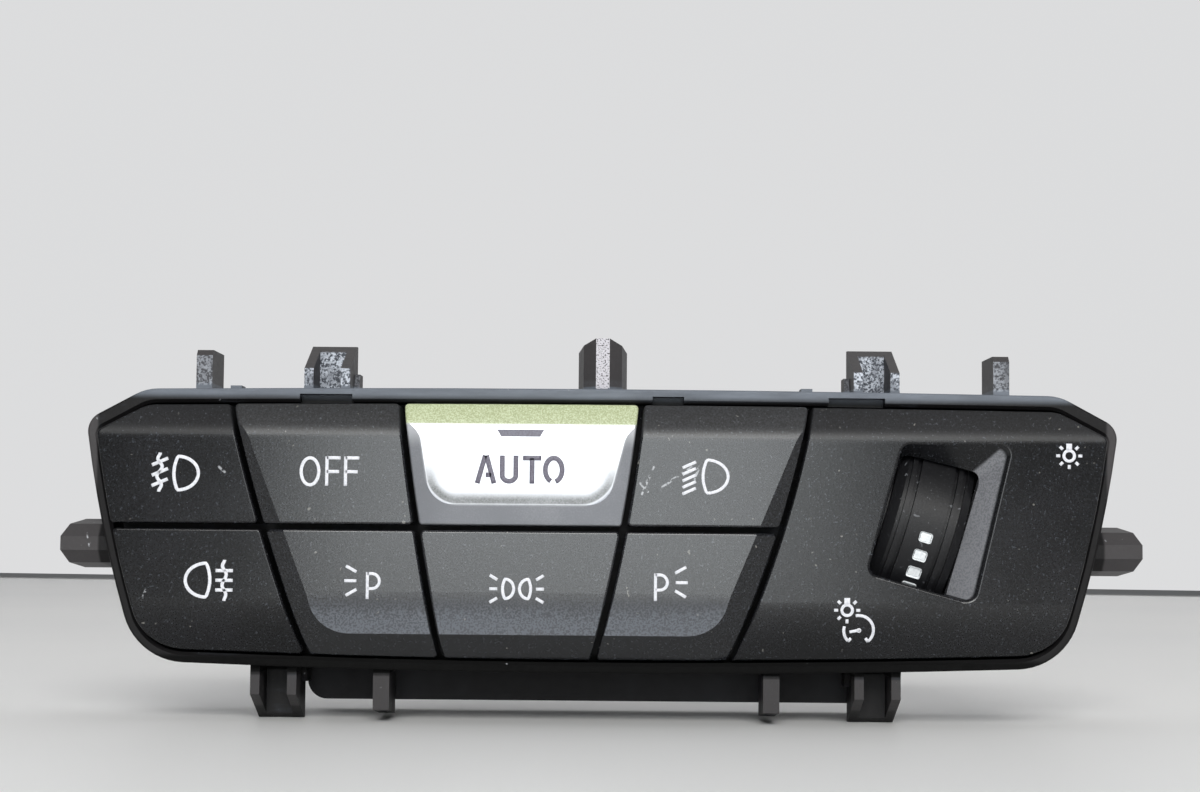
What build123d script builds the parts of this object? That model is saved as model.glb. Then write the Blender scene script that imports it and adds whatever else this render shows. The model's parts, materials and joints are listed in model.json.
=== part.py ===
from build123d import *
import math
import os

# A headlight switch module for a dashboard: eight snap-in buttons and a dimmer thumbwheel in a
# moulded front frame, with a silicone key mat and circuit board under a snapped-on rear cover.
# Millimetres. x runs to the right, y into the dashboard and z up. y = 0 is the raised button face.

# Front frame outline, seen from the front
rim_mid_top = 41.35
rim_mid_bottom = 6.3
rim_top_bow = 0.4
rim_bottom_bow = 1.15
rim_shoulder_x = 56.6
rim_corner_x = 63.9
rim_corner_z = 37.0
rim_waist_x = 61.85
rim_waist_z = 25.1
rim_foot_x = 56.9
rim_shoulder_radius = 6.0
rim_corner_radius = 2.5
rim_foot_radius = 8.0
rim_wall = 1.3
rim_top_wall = 1.75
rim_lead_in = 0.4
rim_edge_radius = 0.3

# Depths of the frame and of what it holds
rim_front = 3.4
rim_back = 12.0
plate_front = 9.0
plate_thick = 1.4
mat_thick = 0.8
mat_front = 14.1
board_thick = 1.6
cover_depth = 17.6
cover_floor = 1.8

# Button field
key_gap = 0.65
field_gap = 0.35
row_z = 24.0
line_top_z = 41.5
line_bottom_z = 6.0
# x of each column gap at the top line, at the row gap and at the bottom line
column_lines = [(-46.1, -41.5, -35.1), (-24.9, -22.55, -19.1), (5.0, 2.7, -1.5), (26.05, 21.95, 14.9)]
cap_wall = 1.1
cap_skin = 1.3
cap_back = 7.0
cap_corner = 0.5
cap_edge = 0.3
key_travel = 1.2

# Shape of the button faces
face_top_z = 36.7
top_lean = 0.55
top_bend_radius = 8.0
bend_z = 15.15
bend_angle = 6.0
bend_radius = 20.0
wing_drop = 1.0
wing_bend_z = 11.5
wing_curl_radius = 11.0
wing_curl_angle = 38.0
pillow_top_z = 44.0
pillow_base_z = 11.5
pillow_top_x = (-46.7, 27.5)
pillow_base_x = (-34.13, 13.9)
pillow_corner = 5.5
pillow_fall = 4.0
pillow_side_run = 2.0
auto_base_z = 26.88
auto_top_x = (-23.7, 5.1)
auto_base_x = (-20.9, 0.75)
auto_corner = 3.2
auto_fall = 1.5
auto_run = 4.0

# Button stems and snap hooks
outer_stem_shift = 1.2
stem_side = 3.4
stem_play = 0.2
dome_play = 0.2
hook_spread = 3.6
hook_thick = 1.4
hook_width = 3.0
hook_barb = 0.7
hook_length = 1.7
hook_play = 0.1
window_play = 0.3
guide_wall = 1.0
guide_length = 1.6
lamp_window = 3.0
lamp_rise = 4.3

# Silicone domes
dome_base = 7.0
dome_top = 4.2
dome_wall = 0.5

# Dimmer wheel
wheel_x = 39.5
wheel_z = 24.6
wheel_depth = 12.4
wheel_lean = 16.5
wheel_radius = 11.8
wheel_width = 9.6
wheel_range = 45.0
band_width = 4.2
groove_width = 0.5
groove_depth = 0.7
ridge_width = 0.6
shoulder_drop = 1.3
wheel_rim = 2.2
wheel_web = 1.8
hub_radius = 2.6
wheel_play = 0.5
axle_radius = 1.0
bearing_play = 0.05
cheek_thick = 1.2
cheek_wall = 1.1
end_play = 0.4
crown_radius = 9.4
crown_wall = 1.4
crown_length = 1.8
crown_slots = 24
crown_slot_width = 1.2
ratchet_radius = 7.0
ratchet_length = 1.2
ratchet_notches = 24
ratchet_notch_radius = 0.5
spring_thick = 0.25
spring_width = 1.0
spring_play = 0.15
spring_post = 2.0
spring_reach = 9.5
stop_lug_height = 1.0
stop_lug_width = 3.0
stop_lug_angle = 3.5
stop_post = 2.0

# Thumb recess in the wheel panel: corners at the face and at its floor, from the top left clockwise
recess_rim = [(36.9, 34.85), (50.4, 34.85), (45.7, 15.3), (32.55, 18.9)]
recess_floor = [(37.2, 33.1), (46.2, 31.0), (42.2, 16.3), (32.9, 19.2)]
recess_depth = 2.7
recess_rim_corner = 1.3
recess_floor_corner = 0.9
recess_edge = 0.4
window_corner = 0.9
recess_wall = 1.2
# x, z and side of the panel's own snap legs
panel_hooks = [(31.0, 28.0, -1), (28.4, 17.5, -1), (50.0, 22.0, 1)]

# Clips, ribs and posts round the frame
clip_tip_top = 47.1
clip_ramp = 3.35
clip_width = 5.7
clip_wall = 1.15
clip_front = 4.6
clip_back = 13.0
clip_flat = 0.9
clip_rear_wall = 2.4
clip_foot_width = 7.0
clip_foot_rise = 2.2
clip_xs_top = (-34.3, 34.1)
clip_xs_bottom = (-40.3, 34.2)
rib_width = 2.0
rib_depth = 8.0
rib_rise = 4.9
rib_nose = 0.7
rib_xs_top = (-49.6, 49.6)
rib_xs_bottom = (-27.0, 21.1)
rib_foot_front = 1.6
rib_foot_back = 0.6
post_width = 4.8
post_flat = 1.7
post_flare = 0.7
post_nose = 1.5
post_depth = 8.4
post_front = 5.0
post_tip_chamfer = 0.9
post_rise = 6.45
side_post_z = 21.75
side_post_tip = 67.1
nub_xs = (-45.6, 25.4)
nub_width = 1.4
nub_rise = 0.4
slot_spans = [(-37.5, -31.0), (6.2, 10.1), (28.0, 35.0)]
slot_height = 0.85
slot_depth = 2.2

# Rear cover
cover_wall = 1.6
belly_half = 37.5
belly_top_z = 20.0
belly_front = 15.6
belly_front_z = 2.1
belly_back_z = 1.2
belly_corner = 2.5
board_play = 0.3
tongue_width = 9.0
tongue_thick = 1.2
tongue_length = 4.6
tongue_play = 0.15
catch_width = 4.6
catch_height = 1.0
catch_length = 1.4
catch_play = 0.2
tongue_xs_top = (-18.0, 18.0)
tongue_xs_bottom = (-15.0, 8.0)
cover_rib_xs = (-38.0, -28.0, 24.0)
cover_rib_rise = 0.8
cover_rib_width = 1.2
board_post = 4.0
board_posts = [(-54.0, 32.0), (-50.0, 14.5), (-12.0, 34.0), (24.0, 34.0), (20.0, 13.5)]

# Board parts
board_edge = 0.7
header_x = -14.0
header_z = 22.0
header_width = 26.0
header_height = 11.0
header_wall = 1.3
header_floor = 23.0
header_back = 34.4
header_play = 0.2
header_latch = 5.0
latch_length = 3.2
pin_columns = 8
pin_pitch = 2.54
pin_row_gap = 4.0
pin_side = 0.64
pin_tip = 29.4
collar_wall = 1.4
collar_length = 2.6
led_width = 2.0
led_rise = 1.0
led_height = 1.3
led_hole_play = 0.3
cell_half = 6.3
cell_low = 3.9
cell_high = 5.8
screen_edge = 17.5
chip_side = 9.0
chip_thick = 1.4
chip_lift = 0.15
chip_x = 10.0
chip_z = 27.0
chip_leads = 8
lead_reach = 0.9
lead_width = 0.4
capacitor_radius = 3.15
capacitor_length = 5.8
capacitor_places = [(-38.0, 27.0), (-38.0, 19.0)]
guide_side = 1.6
guide_gap = 0.25
guide_turn = 6.6
guide_tip_gap = 0.5
bulb_mark = (57.0, 33.3)
bulb_lamp = (28.5, 35.2)
bulb_arm_z = 36.8
bulb_arm_end = 53.0
dimmer_mark = (31.0, 13.3)
dimmer_lamp = (26.0, 14.0)
fork_arm = 1.4
fork_gap = 3.2
fork_centre = -8.4
fork_reach = 2.0
fork_base = 2.6
fork_rise = 2.3

plate_back = plate_front + plate_thick
mat_back = mat_front + mat_thick
board_back = mat_back + board_thick
cover_back = plate_back + cover_depth
cover_inside = cover_back - cover_floor
wing_face = wing_drop
cover_gap = tongue_thick + tongue_play
crown_end = wheel_width / 2 + crown_length
ratchet_end = wheel_width / 2 + ratchet_length
left_cheek = crown_end + end_play
right_cheek = ratchet_end + end_play
wheel_place = Pos(wheel_x, wheel_depth, wheel_z) * Rot(0, wheel_lean, 0)

# Every node is moved so that the origin is under the middle of the whole module
frame_shift = Pos(0, -header_back / 2, 0)

wide = 200.0


def slab(outline, near, far):
    """A front-view outline as a solid between two depths."""
    return Pos(0, far, 0) * extrude(Plane.XZ * outline, far - near)


def block(x, y, z):
    """A box from its (low, high) pairs."""
    low = Pos(x[0], y[0], z[0])
    return low * Box(x[1] - x[0], y[1] - y[0], z[1] - z[0], align=(Align.MIN,) * 3)


def side_profile(points, x):
    """A (y, z) outline as a solid between two x places."""
    face = Plane.YZ * make_face(Polyline(*points, close=True))
    return Pos(x[0], 0, 0) * extrude(face, x[1] - x[0])


def joined(solids):
    """The sum of a list of solids."""
    total = solids[0]
    for solid in solids[1:]:
        total += solid
    return total


# Outlines of the face


def disc_through(start, middle, end, inset):
    """The disc whose edge runs through three points, smaller by an inset."""
    arc = ThreePointArc(start, middle, end)
    return Pos(arc.arc_center.X, arc.arc_center.Y) * Circle(arc.radius - inset)


def rim_outline(inset=0.0, top_inset=None):
    """The outline of the frame: bowed top and bottom, bowed sides and cut shoulders."""
    top_inset = inset if top_inset is None else top_inset
    shoulder = Vector(rim_shoulder_x, rim_mid_top - rim_top_bow)
    corner = Vector(rim_corner_x, rim_corner_z)
    foot = Vector(rim_foot_x, rim_mid_bottom + rim_bottom_bow)
    outline = disc_through((-shoulder.X, shoulder.Y), (0, rim_mid_top), shoulder, top_inset)
    outline &= disc_through((-foot.X, foot.Y), (0, rim_mid_bottom), foot, inset)
    side = disc_through(corner, (rim_waist_x, rim_waist_z), foot, inset)
    cut = (corner - shoulder).normalized()
    inward = Vector(cut.Y, -cut.X)
    edge = shoulder + inward * top_inset
    ends = [edge - cut * wide, edge + cut * wide]
    deep = inward * 2 * wide
    half_plane = make_face(Polyline(ends[0], ends[1], ends[1] + deep, ends[0] + deep, close=True))
    outline &= side & half_plane
    outline &= mirror(side & half_plane, Plane.YZ)
    outline = fillet(outline.vertices().sort_by(Axis.Y)[:2], rim_foot_radius - inset)
    ends = outline.vertices().sort_by(Axis.X)
    outline = fillet([ends[0], ends[-1]], max(rim_corner_radius - inset, 0.8))
    return fillet(outline.vertices().sort_by(Axis.Y)[-2:], rim_shoulder_radius - top_inset)


def inside_rim(gap):
    """The opening inside the rim, smaller by a gap all round."""
    return rim_outline(rim_wall + gap, rim_top_wall + gap)


def rim_edge(x, top):
    """Height of the rim's outer edge above a place x."""
    if top:
        return rim_mid_top - rim_top_bow * (x / rim_shoulder_x) ** 2
    return rim_mid_bottom + rim_bottom_bow * (x / rim_foot_x) ** 2


def column_side(line, sideways):
    """The curved edge of a column, moved sideways by half a gap."""
    top, row, bottom = [x + sideways for x in line]
    return ThreePointArc((top, line_top_z), (row, row_z), (bottom, line_bottom_z))


def column_outline(column, gap):
    """The column of the face between two neighbouring gap lines."""
    if column == 0:
        left = Line((-wide, line_top_z), (-wide, line_bottom_z))
    else:
        left = column_side(column_lines[column - 1], gap)
    if column == len(column_lines):
        right = Line((wide, line_top_z), (wide, line_bottom_z))
    else:
        right = column_side(column_lines[column], -gap)
    top = Line(left @ 0, right @ 0)
    bottom = Line(left @ 1, right @ 1)
    return make_face([left, right, top, bottom])


def row_outline(row, gap):
    """The upper (1) or lower (0) row, or both (None)."""
    if row is None:
        return Pos(0, row_z) * Rectangle(2 * wide, 2 * wide)
    edge = row_z + (gap if row else -gap)
    align = Align.MIN if row else Align.MAX
    return Pos(0, edge) * Rectangle(2 * wide, wide, align=(Align.CENTER, align))


def key_outline(column, row, inset=0.0):
    """The outline of one button, smaller by an inset all round."""
    gap = key_gap / 2 + inset
    return inside_rim(field_gap + inset) & column_outline(column, gap) & row_outline(row, gap)


def rounded(outline):
    """The outline with its corners rounded by moving it in and out again."""
    return offset(offset(outline, -cap_corner), cap_corner, kind=Kind.ARC)


def key_centre(column, row):
    """Where a button's stem stands; the outer column's moves inwards to stay over the board."""
    box = key_outline(column, row).bounding_box()
    shift = outer_stem_shift if column == 0 else 0
    return (box.min.X + box.max.X) / 2 + shift, (box.min.Y + box.max.Y) / 2


def towards_row(z):
    """The direction from a height towards the gap between the rows."""
    return 1 if z < row_z else -1


# Shared surfaces of the face


def trapezoid(top_x, base_x, top_z, base_z, corner, spread=0.0, drop=0.0):
    """Four straight sides with rounded lower corners, its sides spread and its base dropped."""
    height = top_z - base_z
    left_slope = (top_x[0] - base_x[0]) / height
    right_slope = (top_x[1] - base_x[1]) / height
    low = base_z - drop
    left_spread = spread * math.hypot(1, left_slope)
    right_spread = spread * math.hypot(1, right_slope)
    points = [
        (top_x[0] - left_spread, top_z),
        (top_x[1] + right_spread, top_z),
        (base_x[1] + right_spread - right_slope * drop, low),
        (base_x[0] - left_spread - left_slope * drop, low),
    ]
    face = make_face(Polyline(*points, close=True))
    return fillet(face.vertices().sort_by(Axis.Y)[:2], corner + max(spread, drop))


def dome_loft(near, far, depth):
    """Straight flanks between an outline at y = 0 and a wider one behind it."""
    return loft([Plane.XZ * near, Pos(0, depth, 0) * (Plane.XZ * far)], ruled=True)


def face_profile(depth, low_z, curl_angle, curl_radius):
    """What lies behind the face plane: leaning top, flat middle and a bottom that curls back."""
    run = line_top_z - face_top_z
    curl = math.tan(math.radians(curl_angle)) * low_z
    points = [
        (depth + run * top_lean, line_top_z),
        (depth, face_top_z),
        (depth, low_z),
        (depth + curl, 0),
        (wide, 0),
        (wide, line_top_z),
    ]
    face = make_face(Polyline(*points, close=True))
    for height, radius in ((low_z, curl_radius), (face_top_z, top_bend_radius)):
        bend = face.vertices().sort_by_distance((depth, height))[0]
        face = fillet([bend], radius)
    return extrude(Plane.YZ * face, wide, both=True)


def pillow_master():
    """The raised middle block that OFF, AUTO, low beam and the three lower keys share."""
    spread = pillow_fall * pillow_side_run
    sizes = (pillow_top_x, pillow_base_x, pillow_top_z, pillow_base_z, pillow_corner)
    near = trapezoid(*sizes)
    far = trapezoid(*sizes, spread=spread, drop=pillow_fall)
    front = dome_loft(near, far, pillow_fall)
    back = slab(Rectangle(2 * wide, 2 * wide), pillow_fall, wide)
    return (front + back) & face_profile(0, bend_z, bend_angle, bend_radius)


def auto_master(pillow):
    """The pillow, falling back outside the AUTO key's U-shaped ridge."""
    spread = auto_fall * auto_run
    sizes = (auto_top_x, auto_base_x, pillow_top_z, auto_base_z, auto_corner)
    near = trapezoid(*sizes)
    far = trapezoid(*sizes, spread=spread, drop=spread)
    front = dome_loft(near, far, auto_fall)
    return pillow & (front + slab(Rectangle(2 * wide, 2 * wide), auto_fall, wide))


def wing_master():
    """The lower side fields, with a bottom edge that curls back softly."""
    return face_profile(wing_face, wing_bend_z, wing_curl_angle, wing_curl_radius)


# Buttons


def hook(x, z, side, near):
    """A snap leg with its barb behind the frame's plate."""
    inner = x + side * hook_spread
    outer = inner + side * hook_thick
    catch = plate_back + hook_play
    tip = catch + hook_length
    z_span = (z - hook_width / 2, z + hook_width / 2)
    leg = block(sorted((inner, outer)), (near, tip), z_span)
    points = [(outer, catch), (outer + side * hook_barb, catch), (outer, tip)]
    barb = extrude(make_face(Polyline(*points, close=True)), hook_width)
    return leg + Pos(0, 0, z_span[0]) * barb


def soft_front(solid, back):
    """Rounds the edges where a moulding's walls meet its face."""
    walls = [face for face in solid.faces() if abs(face.normal_at().Y) < 0.01]
    edges = [edge for wall in walls for edge in wall.edges()]
    front = [edge for edge in edges if edge.bounding_box().min.Y < back - 0.01]
    return fillet([edge for edge in front if abs(edge.tangent_at(0.5).Y) < 0.99], cap_edge)


def key_cap(column, row, master, face):
    """One hollow button with its stem and two snap legs."""
    outer = soft_front(slab(rounded(key_outline(column, row)), -1, cap_back) & master, cap_back)
    hollow = slab(key_outline(column, row, cap_wall), -1, cap_back + 1) & Pos(0, cap_skin, 0) * master
    x, z = key_centre(column, row)
    root = face + cap_skin / 2
    half = stem_side / 2
    stem = block((x - half, x + half), (root, mat_front - dome_height() - dome_play), (z - half, z + half))
    legs = [hook(x, z, side, root) for side in (-1, 1)]
    return outer - hollow + joined([stem, *legs])


def dome_height():
    """Free height of a silicone dome above the mat's sheet."""
    return key_travel + 0.3


def key_places():
    """Name, column and row of each button."""
    names = [
        ("fog_rear_button", "fog_front_button"),
        ("parking_left_button", "off_button"),
        ("side_light_button", "auto_button"),
        ("parking_right_button", "low_beam_button"),
    ]
    places = {}
    for column, pair in enumerate(names):
        for row, name in enumerate(pair):
            places[name] = (column, row)
    return places


def plate_windows(x, z):
    """Holes in the frame's plate for one button: stem, two legs and the lamp's light."""
    span = (plate_front - 1, plate_back + guide_length + 1)
    half = stem_side / 2 + stem_play
    holes = [block((x - half, x + half), span, (z - half, z + half))]
    holes += [hook_window(x, z, side) for side in (-1, 1)]
    lamp = lamp_window / 2
    lamp_z = z + towards_row(z) * lamp_rise
    holes.append(block((x - lamp, x + lamp), span, (lamp_z - lamp, lamp_z + lamp)))
    return joined(holes)


def hook_window(x, z, side):
    """The hole in the plate whose outer edge a barb catches."""
    inner = x + side * (hook_spread - window_play)
    outer = x + side * (hook_spread + hook_thick + window_play / 2)
    high = hook_width / 2 + window_play
    return block(sorted((inner, outer)), (plate_front - 1, plate_back + 1), (z - high, z + high))


def stem_guide(x, z):
    """The square collar behind the plate that keeps a stem straight."""
    half = stem_side / 2 + stem_play + guide_wall
    high = stem_side / 2 + stem_play + guide_wall / 2
    return block((x - half, x + half), (plate_front, plate_back + guide_length), (z - high, z + high))


# Dimmer wheel, modelled along its own axle and then leaned over


def rod(radius, low, high):
    """A cylinder along the axle between two places."""
    return Pos((low + high) / 2, 0, 0) * Rot(0, 90, 0) * Cylinder(radius, high - low)


def ring(inner, outer, low, high):
    """A tube along the axle between two places."""
    return rod(outer, low, high) - rod(inner, low - 1, high + 1)


def wheel_profile():
    """Half section of the tread: band, groove, ridge, groove and sloping shoulder on each side."""
    band = band_width / 2
    steps = [(band, wheel_radius)]
    place = band
    for width in (groove_width, ridge_width, groove_width):
        depth = groove_depth if width == groove_width else groove_depth / 4
        steps.append((place, wheel_radius - depth))
        steps.append((place + width, wheel_radius - depth))
        place += width
    steps.append((place, wheel_radius - groove_depth / 2))
    steps.append((wheel_width / 2, wheel_radius - shoulder_drop))
    steps.append((wheel_width / 2, wheel_radius - wheel_rim))
    mirrored = [(-a, r) for a, r in reversed(steps)]
    return make_face(Polyline(*steps, *mirrored, close=True))


def dimmer_wheel():
    tread = revolve(wheel_profile(), Axis.X)
    inner_rim = wheel_radius - wheel_rim
    web = ring(axle_radius, inner_rim + 0.3, -wheel_web / 2, wheel_web / 2)
    hub = ring(axle_radius, hub_radius, -wheel_width / 2, wheel_width / 2)
    crown = ring(crown_radius - crown_wall, crown_radius, -crown_end, -wheel_width / 2 + 1)
    crown += ring(crown_radius - crown_wall, inner_rim + 0.3, -wheel_width / 2, -wheel_width / 2 + 1)
    slot = Pos(-crown_end, 0, crown_radius) * Box(2 * crown_length - 1, crown_slot_width, 4 * crown_wall)
    slots = [Rot(k * 360 / crown_slots, 0, 0) * slot for k in range(crown_slots)]
    crown -= joined(slots)
    disc = ring(axle_radius, ratchet_radius, wheel_width / 2 - 1, ratchet_end)
    notch = Pos(0, 0, ratchet_radius) * rod(ratchet_notch_radius, wheel_width / 2, ratchet_end + 1)
    pitch = 360 / ratchet_notches
    disc -= joined([Rot(k * pitch, 0, 0) * notch for k in range(ratchet_notches)])
    disc += ring(ratchet_radius - 1, inner_rim + 0.3, wheel_width / 2 - 1, wheel_width / 2)
    lug = Pos(0, wheel_radius - 0.5, 0) * Box(stop_lug_width, 1 + 2 * stop_lug_height, 2 * lug_half())
    lug &= ring(hub_radius, wheel_radius + stop_lug_height, -wheel_width / 2, wheel_width / 2)
    return wheel_place * (tread + web + hub + crown + disc + lug)


def lug_half():
    """Half the length of the stop lug along the tread."""
    return wheel_radius * math.sin(math.radians(stop_lug_angle))


def wheel_axle():
    return wheel_place * rod(axle_radius, -left_cheek - cheek_thick, right_cheek + cheek_thick)


def wheel_room():
    """The space that the turning wheel needs."""
    half = wheel_width / 2 + end_play
    room = rod(wheel_radius + wheel_play, -half, half)
    room += rod(crown_radius + wheel_play, -left_cheek, half)
    room += rod(ratchet_radius + wheel_play, -half, right_cheek)
    return wheel_place * room


def bearing_cheek(near, far):
    """A bearing on the frame's plate, open at the back so that the axle snaps in."""
    reach = axle_radius + cheek_wall
    front = plate_front - wheel_depth
    plate = block((near, far), (front, 0), (-reach, reach))
    boss = rod(reach, near, far)
    bore = rod(axle_radius + bearing_play, near - 1, far + 1)
    throat = 0.85 * axle_radius
    mouth = block((near - 1, far + 1), (0, 2 * reach), (-throat, throat))
    return wheel_place * (plate + boss - bore - mouth)


def spring_posts():
    """Two posts on the plate that carry the ends of the detent spring."""
    half = spring_post / 2
    across = (wheel_width / 2 + spring_play, ratchet_end + end_play)
    span = (plate_front - wheel_depth, ratchet_radius + spring_play)
    posts = []
    for end in (-1, 1):
        z = end * spring_reach
        posts.append(block(across, span, (z - half, z + half)))
    return wheel_place * joined(posts)


def detent_spring():
    """A leaf over the ratchet with a rolled nose that drops into its notches."""
    middle = wheel_width / 2 + ratchet_length / 2
    half = spring_width / 2
    rest = ratchet_radius + spring_play
    reach = spring_reach + spring_post / 2
    leaf = block((middle - half, middle + half), (rest, rest + spring_thick), (-reach, reach))
    nose = Pos(0, rest, 0) * rod(ratchet_notch_radius - spring_play, middle - half, middle + half)
    return wheel_place * (leaf + nose)


def stop_posts():
    """Two posts on the cover's floor that end the wheel's travel."""
    angle = math.radians(wheel_range + stop_lug_angle + 1.5)
    tip = wheel_radius + stop_lug_height
    z = tip * math.sin(angle)
    near = tip * math.cos(angle)
    half = stop_lug_width / 2 + 0.5
    posts = []
    for end in (-1, 1):
        span = sorted((end * z, end * (z + stop_post)))
        posts.append(block((-half, half), (near, cover_inside + 0.5 - wheel_depth), span))
    return wheel_place * joined(posts)


# Wheel panel


def quad(points, grow, corner):
    """A four-cornered outline with rounded corners, grown all round."""
    face = make_face(Polyline(*points, close=True))
    if grow:
        face = offset(face, grow, kind=Kind.INTERSECTION)
    return fillet(face.vertices(), corner + grow)


def recess_solid(grow, depth):
    """The thumb recess between the face and its floor, grown by a wall."""
    front = -1.0
    slope = (wing_face - front) / recess_depth
    spread = [
        (r[0] + slope * (r[0] - f[0]), r[1] + slope * (r[1] - f[1]))
        for r, f in zip(recess_rim, recess_floor)
    ]
    corner = recess_rim_corner + slope * (recess_rim_corner - recess_floor_corner)
    near = Pos(0, front + depth, 0) * (Plane.XZ * quad(spread, grow, corner))
    back = wing_face + recess_depth + depth
    far = Pos(0, back, 0) * (Plane.XZ * quad(recess_floor, grow, recess_floor_corner))
    return loft([near, far], ruled=True)


def soft_recess(panel):
    """Rounds the edges where the thumb recess meets the panel's face."""
    xs, zs = zip(*recess_rim)
    rim = panel.edges().filter_by_position(Axis.X, min(xs), max(xs)).filter_by_position(Axis.Z, min(zs), max(zs))
    return fillet([edge for edge in rim if edge.bounding_box().max.Y < wing_face + 0.01], recess_edge)


def soft_window(panel):
    """Rounds the corners of the opening that the wheel stands in."""
    corners = []
    for edge in panel.edges():
        middle = (wheel_place.inverse() * Pos(*(edge @ 0.5))).position
        off_end = abs(middle.X) - wheel_width / 2 - end_play
        off_tread = math.hypot(middle.Y, middle.Z) - wheel_radius - wheel_play
        if abs(off_end) < 0.01 and abs(off_tread) < 0.01 and middle.Y < 0:
            corners.append(edge)
    return fillet(corners, window_corner)


def wheel_panel(wing):
    column = len(column_lines)
    outer = soft_front(slab(key_outline(column, None), -1, plate_front) & wing, plate_front)
    hollow = slab(key_outline(column, None, cap_wall), -1, plate_front + 1) & Pos(0, cap_skin, 0) * wing
    hollow -= recess_solid(recess_wall, cap_skin)
    legs = joined([hook(x, z, side, wing_face + cap_skin / 2) for x, z, side in panel_hooks])
    return soft_window(soft_recess(outer - hollow + legs - recess_solid(0, 0)) - wheel_room())


# Front frame


def clip(x, top):
    """A U-shaped snap clip on the rim, its flanks ramping up towards the back."""
    edge = rim_edge(x, top)
    out = 1 if top else -1
    tip = clip_tip_top if top else 0.0
    root = edge - out * rim_wall / 2
    low = tip - out * clip_ramp
    points = [
        (clip_front, root),
        (clip_front, low),
        (clip_back - clip_flat, tip),
        (clip_back, tip),
        (clip_back, root),
    ]
    half = clip_width / 2
    body = side_profile(points, (x - half, x + half))
    half -= clip_wall
    channel_back = clip_back - clip_rear_wall
    z_span = sorted((edge, tip + out))
    body -= block((x - half, x + half), (0, channel_back), z_span)
    half = clip_foot_width / 2
    foot = side_profile(
        [(clip_back - 4.5, root), (clip_back - 3, edge + out * clip_foot_rise),
         (clip_back, edge + out * clip_foot_rise), (clip_back, root)],
        (x - half, x + half),
    )
    inner = clip_width / 2 - clip_wall
    foot -= block((x - inner, x + inner), (0, channel_back), z_span)
    return body + foot


def top_rib(x):
    edge = rim_edge(x, True)
    tip = edge + rib_rise
    back = clip_front + rib_depth
    points = [
        (clip_front, edge - rim_wall / 2),
        (clip_front, tip - rib_nose),
        (clip_front + rib_nose, tip),
        (back, tip),
        (back, edge - rim_wall / 2),
    ]
    return side_profile(points, (x - rib_width / 2, x + rib_width / 2))


def bottom_rib(x):
    root = rim_edge(x, False) + rim_wall / 2
    back = clip_front + rib_depth
    points = [(clip_front, root), (clip_front, rib_foot_front), (back, rib_foot_back), (back, root)]
    return side_profile(points, (x - rib_width / 2, x + rib_width / 2))


def guide_post(root, tip):
    """A ridged locating post, pointing up, from its root height to its tip."""
    half = post_width / 2
    flat = post_flat / 2
    back = post_front + post_depth
    points = [
        (-flat, post_front),
        (flat, post_front),
        (half, post_front + post_nose),
        (half + post_flare, back),
        (-half - post_flare, back),
        (-half, post_front + post_nose),
    ]
    post = extrude(make_face(Polyline(*points, close=True)), tip - root)
    post = Pos(0, 0, root) * post
    drop = post_tip_chamfer
    gable = [(-half - 1, root), (-half - 1, tip - drop - 0.4), (-flat, tip), (flat, tip),
             (half + 1, tip - drop - 0.4), (half + 1, root)]
    return post & slab(make_face(Polyline(*gable, close=True)), 0, wide)


def side_post(side):
    """The same post turned to point sideways."""
    root = rim_waist_x - rim_wall / 2 - 1.0
    upright = guide_post(root, side_post_tip)
    return Pos(0, 0, side_post_z) * Rot(0, 90 * side, 0) * upright


def snap_tongue(x, top):
    """A loop behind the plate that springs over a catch on the cover."""
    out = 1 if top else -1
    near = cover_edge(x, top) + out * tongue_play
    z_span = sorted((near, near + out * tongue_thick))
    half = tongue_width / 2
    tongue = block((x - half, x + half), (plate_front, plate_back + tongue_length), z_span)
    start = catch_start() - catch_play
    end = catch_start() + catch_length + catch_play
    half = catch_width / 2 + catch_play
    return tongue - block((x - half, x + half), (start, end), (z_span[0] - 1, z_span[1] + 1))


def catch_start():
    """Depth at which the catches begin."""
    return rim_back + 0.5


def cover_edge(x, top):
    """Height of the cover's outer edge at a place x."""
    out = 1 if top else -1
    return rim_edge(x, top) - out * (rim_wall + cover_gap)


def cover_catch(x, top):
    """The wedge on the cover that a tongue's window holds."""
    out = 1 if top else -1
    wall = cover_edge(x, top)
    points = [
        (catch_start(), wall - out * 0.5),
        (catch_start(), wall + out * catch_height),
        (catch_start() + catch_length, wall),
        (catch_start() + catch_length, wall - out * 0.5),
    ]
    return side_profile(points, (x - catch_width / 2, x + catch_width / 2))


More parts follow.
